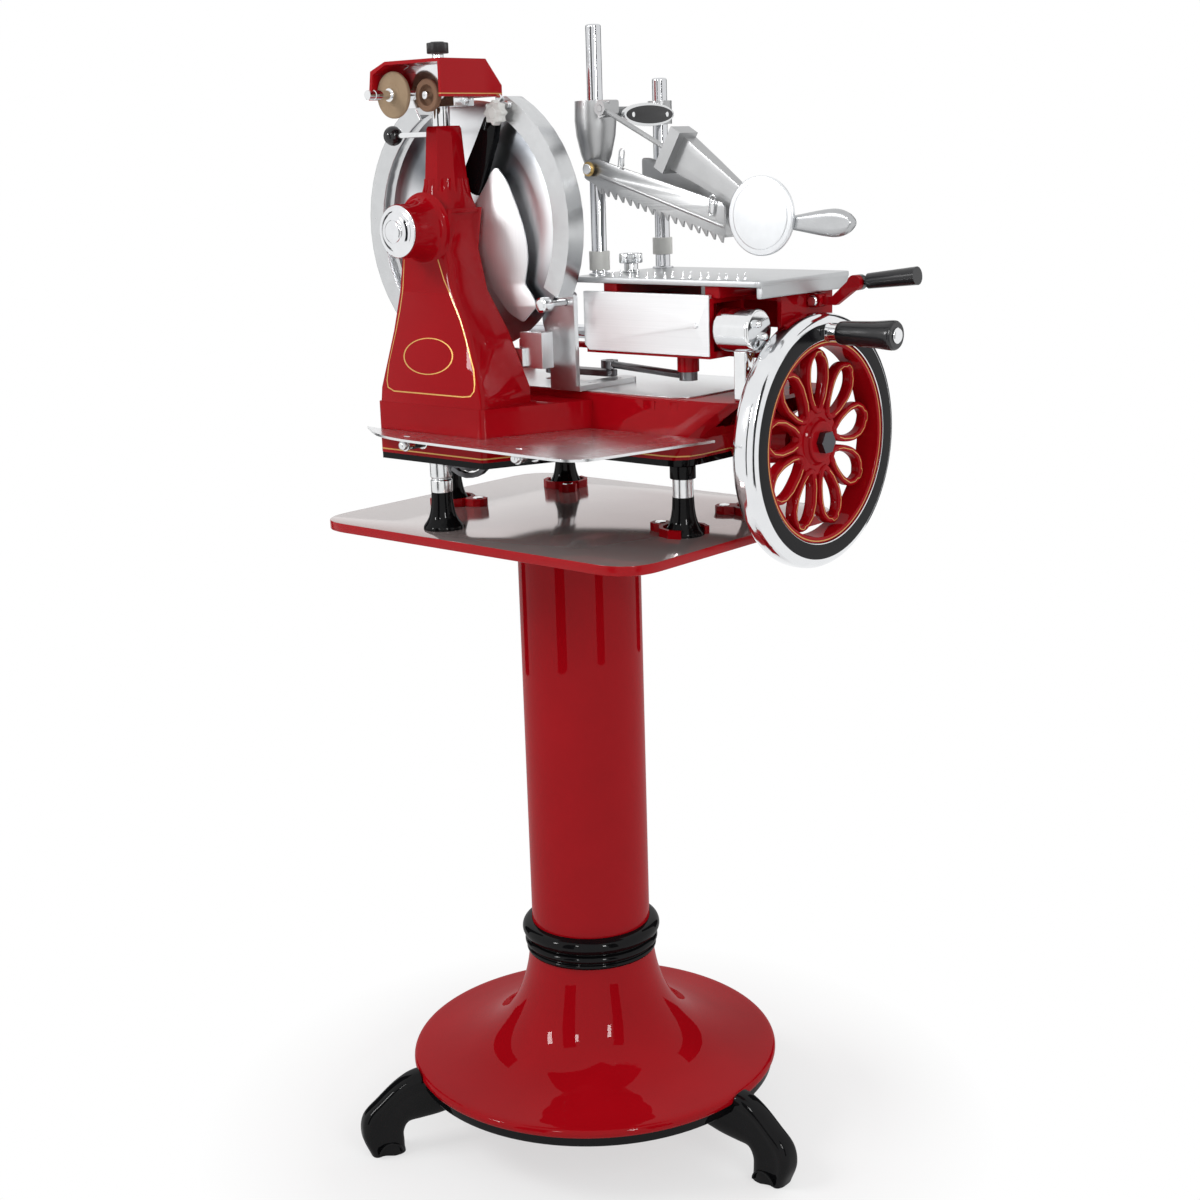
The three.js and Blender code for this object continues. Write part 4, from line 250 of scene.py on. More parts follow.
class Finish:
    """One material, built up from its nodes."""

    def __init__(self, name, **constants):
        self.material = bpy.data.materials.new(name)
        self.material.use_nodes = True
        self.tree = self.material.node_tree
        self.shader = self.tree.nodes["Principled BSDF"]
        self.feed(**constants)
        self.place = self.add("ShaderNodeTexCoord")["Object"]

    def add(self, kind, settings=None, sockets=None):
        """One node; its outputs are found by number or by name."""
        node = wired(self.tree, kind, settings or {}, sockets or {})
        found = {socket.name: Wire(self, socket) for socket in node.outputs}
        found.update({i: Wire(self, socket) for i, socket in enumerate(node.outputs)})
        return found

    def feed(self, **links):
        """Sets or links the shader's own sockets."""
        names = {"ior": "IOR", "specular_ior_level": "Specular IOR Level"}
        for key, value in links.items():
            socket = self.shader.inputs[names.get(key, key.replace("_", " ").title())]
            if isinstance(value, Wire):
                self.tree.links.new(value.socket, socket)
            else:
                socket.default_value = value

    def spot(self):
        """Millimetres from the column's axis, as three wires."""
        split = self.add("ShaderNodeSeparateXYZ", {}, {0: self.place})
        return split[0] * 1000 + axis_shift, split[1] * 1000, split[2] * 1000 - floor_shift

    def facing(self):
        """The way a face looks, as three wires."""
        normal = self.add("ShaderNodeNewGeometry")["Normal"]
        return self.add("ShaderNodeSeparateXYZ", {}, {0: normal})

    def noise(self, size, detail=3, stretch=(1, 1, 1)):
        """Soft noise whose lumps measure about size millimetres, drawn out along an axis by stretch."""
        moved = self.add("ShaderNodeMapping", {}, {0: self.place, 3: [1 / s for s in stretch]})[0]
        sockets = {"Vector": moved, "Scale": 1000 / size, "Detail": detail}
        return self.add("ShaderNodeTexNoise", {}, sockets)[0]

    def blend(self, mask, first, second):
        sockets = {0: mask}
        for index, shade in ((6, first), (7, second)):
            sockets[index] = shade if isinstance(shade, Wire) else (*shade, 1)
        return self.add("ShaderNodeMix", {"data_type": "RGBA"}, sockets)[2]

    def ramp(self, value, stops):
        """A value read off a line of places and levels."""
        node = wired(self.tree, "ShaderNodeValToRGB", {}, {0: value})
        ramp = node.color_ramp
        while len(ramp.elements) < len(stops):
            ramp.elements.new(0.5)
        for element, (at, level) in zip(ramp.elements, stops):
            element.position = at
            element.color = (level, level, level, 1)
        return Wire(self, node.outputs[0])

    def relief(self, height, depth, strength=1.0, under=None):
        """Bump from a height of 0 to 1, with its depth in millimetres."""
        sockets = {"Height": height, "Distance": depth / 1000, "Strength": strength}
        if under is not None:
            sockets["Normal"] = under
        return self.add("ShaderNodeBump", {}, sockets)[0]


def dressed(piece, body, slot, finish, *nodes):
    """Gives a piece its finish and the CAD body that it rides on; its slot is not used."""
    piece.data.materials.clear()
    piece.data.materials.append(finish.material)
    if nodes:
        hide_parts(*nodes)
    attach(piece, body)
    return piece


def lathed(name, line, axis, centre, sides, body, slot, finish, *nodes, ease=(0.5, 2), crease=32):
    """A turned piece with its corners eased, dressed."""
    piece = turned(name, eased(line, *ease), axis, centre, sides, crease)
    return dressed(piece, body, slot, finish, *nodes)


def black_enamel(name, lump=9.0):
    """Stoved gloss black over a casting whose skin is not quite flat."""
    finish = Finish(name, coat_weight=0.3, coat_roughness=0.02, ior=1.5, specular_ior_level=0.0)
    skin = finish.noise(lump, 1)
    dust = finish.noise(30, 6)
    shade = finish.blend(dust, (0.0025, 0.0025, 0.003), (0.006, 0.006, 0.0065))
    finish.feed(base_color=shade, roughness=0.16 + dust * 0.14)
    finish.feed(normal=finish.relief(skin, 0.25, 0.35))
    return finish


leg_root, leg_reach, leg_rise, leg_breadth, floor_level = 200, 328, 106, 39.4, -22
leg_squareness, ridge_dip, ridge_place, ridge_width = 0.62, 0.24, 0.66, 0.15
leg_shares = [
    (0.0, 0.868, 0.0, 0.453, 0.435),
    (0.249, 1.0, 0.195, 0.406, 0.457),
    (0.429, 1.0, 0.382, 0.387, 0.457),
    (0.61, 0.896, 0.516, 0.368, 0.435),
    (0.805, 0.708, 0.569, 0.264, 0.435),
    (0.969, 0.519, 0.569, 0.132, 0.457),
    (1.0, 0.264, 0.569, 0.057, 0.5),
    (0.923, 0.0, 0.562, 0.0, 0.478),
]
dome_edge = 246.2
ring_outer, ring_inner, ring_low, ring_high = 241, 200, 58, 72
toe_reach, toe_floor, toe_inside, toe_outside = 294, -18.5, 14.5, 20.6
scroll_outer, scroll_inner = 16.5, 13.6


def cabriole(angle):
    """The sections of one leg: a ridge runs down its back, and its sides are dished."""
    rings = []
    for top_r, top_h, low_r, low_h, half in flowing(leg_shares, 6):
        ring = []
        for i in range(40):
            turn = 2 * math.pi * (i + 0.5) / 40
            c, s = (math.copysign(abs(w) ** leg_squareness, w) for w in (math.cos(turn), math.sin(turn)))
            along = 0.5 + 0.5 * c
            ridge = 1 - ridge_dip * math.exp(-(((along - ridge_place) / ridge_width) ** 2))
            side = leg_breadth * half * s * ridge
            reach = leg_root + (leg_reach - leg_root) * min(low_r + (top_r - low_r) * along, 1.0)
            height = floor_level + max(leg_rise * (low_h + (top_h - low_h) * along), 0)
            x = reach * math.cos(angle) - side * math.sin(angle)
            y = reach * math.sin(angle) + side * math.cos(angle)
            if math.hypot(x, y) < dome_edge:
                height = min(height, ring_high - 0.1)
            ring.append(here(x, y, height))
        rings.append(ring)
    return rings


leg_black = black_enamel("leg_black", 14.0)
ring_profile = [
    (ring_inner, 65), (ring_inner, ring_high), (ring_outer, ring_high), (ring_outer, ring_low),
    (ring_inner, ring_low), (ring_inner, 64.9),
]
lathed("base_ring", ring_profile, "z", (0, 0), 128, "stand", "black_paint", leg_black, "leg_frame",
       ease=(2.5, 4))
arch = []
for radius, turns in ((scroll_outer, range(25)), (scroll_inner, range(24, -1, -1))):
    for k in turns:
        turn = math.pi * k / 24
        arch.append((toe_reach + radius * math.cos(turn), toe_floor + radius * math.sin(turn)))
for i in range(3):
    angle = 2 * math.pi * i / 3
    c, s = math.cos(angle), math.sin(angle)
    dressed(skinned(f"leg_{i + 1}", cabriole(angle)), "stand", "black_paint", leg_black)
    for end, low, high in (("front", -toe_outside, -toe_inside), ("back", toe_inside, toe_outside)):
        scroll = sawn(f"toe_scroll_{i + 1}_{end}", "y", [arch], low, high, edge=1.2)
        for v in scroll.data.vertices:
            x, y, z = measured(v)
            v.co = here(x * c - y * s, x * s + y * c, z)
        dressed(scroll, "stand", "black_paint", leg_black)

# Dome of the base: one deep spun-looking iron casting in red enamel, rubbed down and polished
# between coats, so the gloss is deep and the reflections stay clean.


def red_enamel(name, lump=26.0, gold=None):
    """Deep red gloss in many coats; gold is a mask of the painted lines on it."""
    finish = Finish(name, coat_weight=0.26, coat_roughness=0.012, ior=1.5, specular_ior_level=0.0)
    skin = finish.noise(lump, 1)
    depth = finish.noise(60, 2)
    shade = finish.blend(depth, (0.29, 0.0020, 0.0052), (0.34, 0.0026, 0.0068))
    rough = 0.24 + finish.noise(40, 5) * 0.1
    if gold is not None:
        line = gold(finish)
        shade = finish.blend(line, shade, (0.62, 0.36, 0.11))
        rough = rough + line * 0.12
        finish.feed(metallic=line * 0.55)
    finish.feed(base_color=shade, roughness=rough)
    finish.feed(normal=finish.relief(skin, 0.15, 0.3))
    return finish


dome_radius, dome_rim, dome_neck, dome_wall, socket_radius, socket_floor = 245.7, 72, 223, 5, 79.1, 180
dome_shares = [
    (0.340, 1.0), (0.344, 0.934), (0.354, 0.834), (0.372, 0.715), (0.401, 0.583), (0.444, 0.45),
    (0.505, 0.325), (0.590, 0.222), (0.692, 0.152), (0.806, 0.109), (0.904, 0.086), (0.960, 0.076),
    (0.987, 0.066), (0.998, 0.046), (1.0, 0.02), (0.994, 0.0),
]
dome_outer = flowing([(r * dome_radius, dome_rim + h * (dome_neck - dome_rim)) for r, h in dome_shares], 6)
dome_inner = [(r - dome_wall, h - dome_wall) for r, h in dome_outer[::4] if 96 < r < 225]
dome_profile = [
    (socket_radius, dome_neck), *dome_outer, (dome_radius - 9, dome_rim), *dome_inner[::-1], (88, 165),
    (69.7, 165), (69.7, socket_floor), (socket_radius, socket_floor),
]
base_dome = turned("base_dome_shell", dome_profile, sides=192)
dressed(base_dome, "stand", "red_paint", red_enamel("dome_red", 40.0), "base_dome")

# Collar at the column's foot: one broad bead over two small ones, turned in one piece and
# enamelled gloss black. It hides the joint between tube and dome.
collar_radius, collar_low, collar_rise = 92, 223, 41
collar_shares = [
    (0.862, 1.0), (0.885, 0.992), (0.93, 0.965), (0.972, 0.9), (0.995, 0.8), (0.998, 0.69), (0.978, 0.58),
    (0.94, 0.515), (0.912, 0.49), (0.915, 0.455), (0.945, 0.415), (0.965, 0.35), (0.963, 0.27),
    (0.938, 0.205), (0.915, 0.18), (0.917, 0.15), (0.94, 0.115), (0.944, 0.05), (0.93, 0.0),
]
collar_line = flowing([(r * collar_radius, collar_low + h * collar_rise) for r, h in collar_shares], 4)
collar_profile = [(socket_radius, collar_low + collar_rise), *collar_line, (socket_radius, collar_low)]
collar = turned("collar_beads", collar_profile, sides=128)
dressed(collar, "stand", "black_paint", black_enamel("collar_black", 20.0), "column_collar")

# Column: steel tube with a square flange welded on top, both in the red of the dome. The flange
# is bolted under the plate.
tube_radius, tube_bore, tube_low, tube_high, flange_low = 78.7, 75.2, socket_floor, 801, 795
column_red = red_enamel("column_red", 90.0)
tube_profile = [
    (tube_bore, tube_low), (tube_bore, tube_high), (tube_radius, tube_high), (tube_radius, tube_low),
]
column = turned("column_tube_skin", tube_profile, sides=128)
dressed(column, "stand", "red_paint", column_red, "column_tube")


def rounded_box(left, right, near, far, reach, steps=8):
    """A rectangle with rounded corners, as an outline."""
    return eased([(left, near), (right, near), (right, far), (left, far)], reach, steps, True)


def ring_line(centre, reach, sides=48):
    """An outline round a place; reach is a radius, an oval's pair, or a rule of count and turn."""
    line = []
    for i in range(sides):
        turn = 2 * math.pi * i / sides
        size = reach(i, turn) if callable(reach) else reach
        wide, tall = size if isinstance(size, tuple) else (size, size)
        line.append((centre[0] + wide * math.cos(turn), centre[1] + tall * math.sin(turn)))
    return line


flange_outlines = [rounded_box(-98, 98, -98, 98, 14), ring_line((0, 0), tube_radius - 0.2, 96)]
flange = sawn("column_flange", "z", flange_outlines, flange_low, tube_high, edge=0.8)
dressed(flange, "stand", "red_paint", column_red)

# Plate on the column: thick steel with a mirror-polished face and a red enamelled edge.
# Its face mirrors the bell feet and the casting above it; its pink tint is painted red reflection.
plate_low, plate_high = tube_high, 813


def mirror_plate():
    finish = Finish("plate_mirror_and_edge", ior=1.5, specular_ior_level=0.2)
    mask = finish.facing()[2] > 0.8
    haze = finish.noise(90, 5)
    wipe = finish.noise(1.3, 4, (60, 1, 1))
    # pinkish steel shades: painted red reflection in the mirror face's colour
    steel = finish.blend(haze, (0.42, 0.34, 0.33), (0.52, 0.43, 0.42))
    finish.feed(base_color=finish.blend(mask, (0.36, 0.003, 0.007), steel), metallic=mask * 0.62)
    finish.feed(roughness=0.2 - mask * 0.12 + haze * wipe * 0.06)
    finish.feed(normal=finish.relief(finish.noise(70, 1), 0.12, 0.3, finish.relief(wipe, 0.002, 0.4)))
    return finish


plate_line = rounded_box(-263, 263, -211, 211, 55, 14)
plate = sawn("column_plate", "z", [plate_line], plate_low, plate_high, edge=1.2)
dressed(plate, "stand", "red_paint", mirror_plate(), "top_plate")

# Bell feet: black turned bells, each round a bright sleeve; four have a black collar above.
# Foot 1 stands by itself at the front, and its sleeve carries a turned groove.


def bright_turning(name, axis, centre, shade=(0.84, 0.85, 0.86), rough=0.2, pitch=0.5):
    """Metal finished on a lathe: fine rings round the axis, a little uneven."""
    finish = Finish(name, metallic=1.0)
    spot = dict(zip("xyz", finish.spot()))
    along = spot.pop(axis)
    off_u, off_v = (wire - middle for wire, middle in zip(spot.values(), centre))
    tool = 6.28 / pitch
    rings = (apart(off_u, off_v) * tool).wave() * (along * tool).wave()
    broken = finish.noise(14, 4)
    worn = finish.noise(40, 4)
    dark = tuple(c * 0.86 for c in shade)
    finish.feed(base_color=finish.blend(broken, dark, shade))
    finish.feed(roughness=rough * 0.8 + worn * rough * 0.5)
    finish.feed(normal=finish.relief(rings * 0.5 + broken, 0.004, 0.5))
    return finish


def bright_part(
    name, line, axis, centre, sides, body, *nodes, slot="chrome", ease=(0.5, 2), crease=32, **look
):
    """A turned piece with its corners eased, dressed in a bright finish of its own."""
    bright = bright_turning(name + "_bright", axis, centre, **look)
    return lathed(name, line, axis, centre, sides, body, slot, bright, *nodes, ease=ease, crease=crease)


foot_places = [(-80, -160), (-188, -37), (-145, 140), (195, -30), (190, 125)]
bell_line = [
    (24.5, 0), (24.5, 3.2), (23.2, 5.5), (20.2, 9.5), (17.2, 15), (15.2, 22), (13.6, 32), (12.9, 46),
]
bell_rise, sleeve_low, collar_foot, foot_top = 46, 859, 881, 897
groove_line = [
    (0, sleeve_low), (13.4, sleeve_low), (13.4, 873.6), (12, 875), (12, 876.4), (13.4, 877.8),
    (13.4, foot_top), (0, foot_top),
]
bell_black = black_enamel("bell_black", 30.0)
for i, place in enumerate(foot_places):
    bright = bright_turning(f"sleeve_bright_{i + 1}", "z", place)
    line = eased([(r, plate_high + h) for r, h in bell_line], 2.0)
    line = [(0, plate_high), *line, (0, plate_high + bell_rise)]
    bell = turned(f"foot_bell_{i + 1}", line, "z", place, 64)
    dressed(bell, "stand", "black_paint", bell_black, f"machine_foot_{i + 1}")
    if i == 0:
        lathed("foot_sleeve_1", groove_line, "z", place, 64, "stand", "cast_aluminium", bright)
        continue
    for name, radius, low, high, slot, finish, ease in (
        ("sleeve", 12.5, sleeve_low, collar_foot, "cast_aluminium", bright, (0,)),
        ("collar", 15.5, collar_foot, foot_top, "black_paint", bell_black, (1.2, 3)),
    ):
        line = [(0, low), (radius, low), (radius, high), (0, high)]
        lathed(f"foot_{name}_{i + 1}", line, "z", place, 64, "stand", slot, finish, ease=ease)

# Clips: red enamelled horseshoes bolted to the plate, open towards the edge, so that the
# machine can be slid off. A bright hexagon bolt holds each.


def relieved(node, edge, finish, slot, body, segments=2, angle=28):
    """A copy of a CAD node's own form with its edges broken, as a fettled casting or a filed part has."""
    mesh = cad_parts[node].data.copy()
    shape = bmesh.new()
    shape.from_mesh(mesh)
    bmesh.ops.remove_doubles(shape, verts=shape.verts, dist=2e-6)
    flat = {"angle_limit": math.radians(0.6), "use_dissolve_boundaries": False}
    bmesh.ops.dissolve_limit(shape, verts=shape.verts, edges=shape.edges, **flat)
    bpy.data.meshes.remove(mesh)
    piece = shaded(node + "_finished", shape, 35)
    bevel = piece.modifiers.new("edges", "BEVEL")
    bevel.width = edge / 1000
    bevel.segments = segments
    bevel.limit_method = "ANGLE"
    bevel.angle_limit = math.radians(angle)
    bevel.harden_normals = True
    bevel.use_clamp_overlap = True
    return dressed(piece, body, slot, finish, node)


clip_red = red_enamel("clip_red", 30.0)
clip_step, clip_sink, clip_lug = 0.8353, 0.34, 40.6
bolt_line = [(0, 813.2), (4.2, 813.2), (4.2, 820), (7.2, 820), (7.2, 824), (0, 824)]
for i, place in enumerate(foot_places[1:]):
    clip = relieved(f"foot_clip_{i + 1}", 1.2, clip_red, "red_paint", "stand", 3)
    for v in clip.data.vertices:
        v.co.z -= max(v.co.z - clip_step, 0) * clip_sink
    facing = math.atan2(place[1], place[0])
    bolt_place = (place[0] - clip_lug * math.cos(facing), place[1] - clip_lug * math.sin(facing))
    bright_part(f"clip_bolt_{i + 1}", bolt_line, "z", bolt_place, 6, "stand", ease=(0.7, 2), crease=20,
                rough=0.12)

# Main casting: arm, block, tapering column, bearing boss and sharpener post in one piece of iron,
# red enamelled, with gold lines by hand: a tall frame on the front face and a line over the plinth.


def stroke(u, v, a, b, width):
    """A painted line from a to b on the face that u and v lie in."""
    (ax, ay), (bx, by) = a, b
    length = math.hypot(bx - ax, by - ay)
    dx, dy = (bx - ax) / length, (by - ay) / length
    off_u, off_v = u - ax, v - ay
    past = (off_u * dx + off_v * dy).at_least(0.0).at_most(length)
    gap_u, gap_v = off_u - past * dx, off_v - past * dy
    return (gap_u * gap_u + gap_v * gap_v).root() < width / 2


frame_line = [
    (-137.6, 1137.6), (-137.9, 1107.8), (-139.6, 1078), (-143.8, 1048), (-148.1, 1015.6), (-147.4, 994.2),
    (-144, 986), (-133.2, 981.8), (-14.3, 981.8), (-1.8, 983.4), (3.2, 989.4), (2.4, 997.9),
    (-3.1, 1013.6), (-18.5, 1041.5), (-34.9, 1069.7), (-51.7, 1092.4), (-67.2, 1115.3), (-78.6, 1138.5),
]
oval_middle, oval_half_width, oval_half_height, oval_line = (-81.5, 1025.6), 41.5, 21, 0.026
frame_width, low_line_level, low_line_half = 1.5, 909.5, 0.8


def casting_gold(finish):
    """The frame, the oval and the plinth's line, as one mask."""
    x, y, z = finish.spot()
    facing = finish.facing()
    oval_u, oval_v = (x - oval_middle[0]) / oval_half_width, (z - oval_middle[1]) / oval_half_height
    mask = abs(apart(oval_u, oval_v) - 1.0) < oval_line
    for a, b in zip(frame_line, frame_line[1:]):
        mask = mask.at_least(stroke(x, z, a, b, frame_width))
    low_line = (abs(z - low_line_level) < low_line_half) * (abs(facing[2]) < 0.5)
    return (mask * (facing[1] < -0.45)).at_least(low_line)


casting_red = red_enamel("casting_red", 34.0, casting_gold)
casting = relieved("machine_body", 3.6, casting_red, "red_paint", "stand", 4, 30)
post_centre, post_foot, post_head, neck_level, head_level = (-97, -110), 30, 22.5, 1198, 1291
cast_foot, cast_head, cast_inside, cast_outside, neck_outside = 38, 33, 26, 42, 38.5
for v in casting.data.vertices:
    x, y, z = measured(v)
    x, y = x - post_centre[0], y - post_centre[1]
    reach = math.hypot(x, y)
    on_neck = neck_level - 2 < z < neck_level + 2 and reach > neck_outside
    if z > neck_level - 20 and cast_inside < reach < cast_outside and not on_neck:
        share = min(max((z - neck_level) / (head_level - neck_level), 0), 1)
        scale = (post_foot / cast_foot) * (1 - share) + (post_head / cast_head) * share
        v.co.x -= x * (1 - scale) / 1000
        v.co.y -= y * (1 - scale) / 1000


def post_flare():
    """The casting's shoulder sweeps up from the neck's rounded square into the post."""
    flare_low, flare_rise = neck_level - 5, 40
    rings = []
    for step in range(13):
        share = step / 12
        ring = []
        for i in range(72):
            turn = 2 * math.pi * i / 72
            c, s = math.cos(turn), math.sin(turn)
            wide, deep = 36 if c > 0 else 40, 25 if s > 0 else 37
            square = (abs(c / wide) ** 5 + abs(s / deep) ** 5) ** -0.2
            along = (flare_rise * share - 5) / (head_level - neck_level)
            facet = (post_foot + (post_head - post_foot) * along) * (0.955 + 0.02 * math.cos(8 * turn))
            reach = facet + (square - facet) * (1 - share) ** 2.4
            x, y = post_centre[0] + reach * c, post_centre[1] + reach * s
            ring.append(here(x, y, flare_low + flare_rise * share))
        rings.append(ring)
    return rings


dressed(skinned("post_flare", post_flare()), "stand", "red_paint", casting_red)
boss_place = (-101, 1174)
boss_line = flowing([(31.4, -181), (31.9, -172), (33, -163), (35.2, -155), (39, -149.5), (44, -147)], 4)
boss_flare = turned("boss_flare", [*boss_line, (28, -147)], "y", boss_place, 96)
dressed(boss_flare, "stand", "red_paint", casting_red)

# Plinth frame under the casting, black, and the cover plate on the arm, a satin steel sheet
# that closes the casting's top around the crank.


def brushed_sheet(name, grain=(60, 1, 1), shade=(0.86, 0.87, 0.88), rough=0.3):
    """Sheet metal ground with a belt: fine scratches along one axis."""
    finish = Finish(name, metallic=1.0)
    scratch = finish.noise(0.5, 3, grain)
    long_scratch = finish.noise(1.6, 2, tuple(4 * g if g > 1 else 1 for g in grain))
    haze = finish.noise(70, 3)
    dark = tuple(c * 0.84 for c in shade)
    finish.feed(base_color=finish.blend(scratch * 0.5 + long_scratch * 0.5, dark, shade))
    finish.feed(roughness=rough * 0.75 + haze * rough * 0.4 + scratch * 0.05)
    finish.feed(normal=finish.relief(scratch, 0.008, 0.5, finish.relief(haze, 0.1, 0.15)))
    return finish


relieved("plinth_frame", 1.0, black_enamel("plinth_black", 22.0), "black_paint", "stand")
relieved("arm_cover_plate", 0.4, brushed_sheet("cover_satin"), "satin_steel", "stand", 1)

# Drive inside the casting: oiled steel shafts with bevel gears, a crank, and a roller chain.
# The chain's links are stamped plates on rollers, laid round the path of the CAD chain.


def oiled_steel(name):
    finish = Finish(name, metallic=1.0)
    film = finish.noise(18, 5)
    grain = finish.noise(0.7, 3)
    finish.feed(base_color=finish.blend(film, (0.09, 0.09, 0.095), (0.24, 0.24, 0.25)))
    finish.feed(roughness=0.24 + film * 0.18, normal=finish.relief(grain, 0.01, 0.5))
    return finish


drive_steel = oiled_steel("drive_steel")
relieved("drive_shaft", 0.4, drive_steel, "dark_steel", "cross_shaft", 1)
relieved("crank", 0.6, drive_steel, "dark_steel", "crank_body", 2)

chain_centres, chain_y = ((-64, 921, 45), (-101, 1174, 14)), -129


def chain_path():
    """Points round both sprockets at the links' pitch."""
    (x1, z1, r1), (x2, z2, r2) = chain_centres
    lean = math.atan2(z2 - z1, x2 - x1)
    spread = math.acos((r1 - r2) / math.hypot(x2 - x1, z2 - z1))
    low = [lean + spread + (2 * math.pi - 2 * spread) * i / 60 for i in range(61)]
    high = [lean - spread + 2 * spread * i / 30 for i in range(31)]
    loop = [(x1 + r1 * math.cos(t), z1 + r1 * math.sin(t)) for t in low]
    loop += [(x2 + r2 * math.cos(t), z2 + r2 * math.sin(t)) for t in high]
    return [here(x, chain_y, z) for x, z in loop]


def grown(name, guide, sizes, build, finish):
    """Runs a Geometry Nodes tree on a guide mesh and keeps the result as a plain mesh."""
    tree = bpy.data.node_groups.new(name + "_tree", "GeometryNodeTree")
    for way in ("INPUT", "OUTPUT"):
        tree.interface.new_socket(name="Geometry", in_out=way, socket_type="NodeSocketGeometry")
    inputs = {}
    for label, kind, value in sizes:
        inputs[tree.interface.new_socket(name=label, in_out="INPUT", socket_type=kind).identifier] = value
    start = tree.nodes.new("NodeGroupInput")
    realize = wired(tree, "GeometryNodeRealizeInstances", {}, {"Geometry": build(tree, start.outputs)})
    paint = wired(
        tree, "GeometryNodeSetMaterial", {}, {"Geometry": realize.outputs[0], "Material": finish.material}
    )
    wired(tree, "NodeGroupOutput", {}, {"Geometry": paint.outputs[0]})
    modifier = guide.modifiers.new(name, "NODES")
    modifier.node_group = tree
    for identifier, value in inputs.items():
        modifier[identifier] = value
    bpy.context.view_layer.update()
    seen = guide.evaluated_get(bpy.context.evaluated_depsgraph_get())
    mesh = bpy.data.meshes.new_from_object(seen)
    bpy.data.objects.remove(guide)
    shape = bmesh.new()
    shape.from_mesh(mesh)
    bpy.data.meshes.remove(mesh)
    bmesh.ops.remove_doubles(shape, verts=shape.verts, dist=1e-7)
    return shaded(name, shape, 40)


def joined(tree, *shapes):
    """Several shapes of a Geometry Nodes tree as one."""
    node = tree.nodes.new("GeometryNodeJoinGeometry")
    for shape in shapes:
        tree.links.new(shape, node.inputs[0])
    return node.outputs[0]


def sheet(name, points, edges=(), faces=()):
    """A mesh drawn from its places, as an object."""
    mesh = bpy.data.meshes.new(name)
    mesh.from_pydata([tuple(p) for p in points], list(edges), list(faces))
    return placed(name, mesh)


link_plate, plate_aside = (0.0125, 0.0058, 0.0012), 0.0032
chain_sizes = [
    ("Links", "NodeSocketInt", 56), ("Roller radius", "NodeSocketFloat", 0.0026),
    ("Roller width", "NodeSocketFloat", 0.0062),
]


def chain_tree(tree, sizes):
    """Every link is a roller and a pair of plates, turned along the path."""
    curve = wired(tree, "GeometryNodeMeshToCurve", {}, {"Mesh": sizes["Geometry"]})
    sockets = {"Curve": curve.outputs[0], "Count": sizes["Links"]}
    even = wired(tree, "GeometryNodeResampleCurve", {}, sockets)
    roller = wired(
        tree, "GeometryNodeMeshCylinder", {},
        {"Vertices": 14, "Radius": sizes["Roller radius"], "Depth": sizes["Roller width"]},
    )
    flat = wired(tree, "GeometryNodeMeshCube", {}, {"Size": link_plate})
    plates = []
    for aside in (-plate_aside, plate_aside):
        sockets = {"Geometry": flat.outputs["Mesh"], "Translation": (0, 0, aside)}
        plates.append(wired(tree, "GeometryNodeTransform", {}, sockets).outputs["Geometry"])
    link = joined(tree, roller.outputs["Mesh"], joined(tree, *plates))
    tangent = wired(tree, "GeometryNodeInputTangent", {}, {})
    align = wired(
        tree, "FunctionNodeAlignRotationToVector", {"axis": "X", "pivot_axis": "AUTO"},
        {"Vector": tangent.outputs[0], "Rotation": (math.pi / 2, 0, 0)},
    )
    spread = {"Points": even.outputs[0], "Instance": link, "Rotation": align.outputs[0]}
    return wired(tree, "GeometryNodeInstanceOnPoints", {}, spread).outputs[0]


chain_steel = oiled_steel("chain_steel")
path = chain_path()
guide = sheet("chain_guide", path, [(i, (i + 1) % len(path)) for i in range(len(path))])
links = grown("chain_links", guide, chain_sizes, chain_tree, chain_steel)
dressed(links, "stand", "dark_steel", chain_steel, "drive_chain")

# Blade: hardened steel disc, hollow ground on its back, polished in rings; long dark cones of painted
# reflection are painted into its colour round the centre. A nut and a hub carry it on the blade shaft.


def ring_polished(name, centre, shade=(0.88, 0.89, 0.91)):
    """Steel polished while it turns: fine rings, with darker and brighter zones; the long dark cones round
    the centre are painted reflection.
    """
    finish = Finish(name, metallic=1.0)
    x, y, z = finish.spot()
    off_u, off_v = x - centre[0], z - centre[1]
    reach = apart(off_u, off_v)
    fine = (reach * 11.0).wave() * 0.5 + (reach * 4.3).wave() * 0.3 + (reach * 1.7).wave() * 0.2
    haze = finish.noise(55, 3)
    dark = tuple(c * 0.86 for c in shade)
    # painted reflection: dark bluish cones by angle round the centre, painted into the base colour
    cone = ((off_v.arctan2(off_u) - 0.84) * 4.0 + math.pi / 2).wave() * 0.5 + 0.5
    cone = cone * cone * (1.0 - finish.noise(34, 2) * 0.3)
    bright = finish.blend(haze, dark, shade)
    finish.feed(base_color=finish.blend(cone, bright, (0.05, 0.062, 0.08)), roughness=0.27 + haze * 0.1)
    finish.feed(normal=finish.relief(fine * 0.5 + 0.5, 0.012, 0.35))
    return finish


blade_profile = [
    (8.3, -61.9), (60, -61.9), (60.6, -61.4), (109, -61.4), (112, -62), (128, -60.1), (141, -58.2),
    (149.2, -56.7), (150, -56.35), (150, -56.05), (146, -56), (113, -56), (111, -56.6), (70, -57.6),
    (40, -57), (8.3, -56.6),
]
blade = turned("blade_ground", blade_profile, "y", boss_place, 192, 20)
dressed(blade, "cutter", "polished_steel", ring_polished("blade_steel", boss_place), "blade")
shaft_bright = bright_turning("blade_shaft_bright", "y", boss_place)
relieved("blade_shaft", 0.5, shaft_bright, "satin_steel", "cutter")

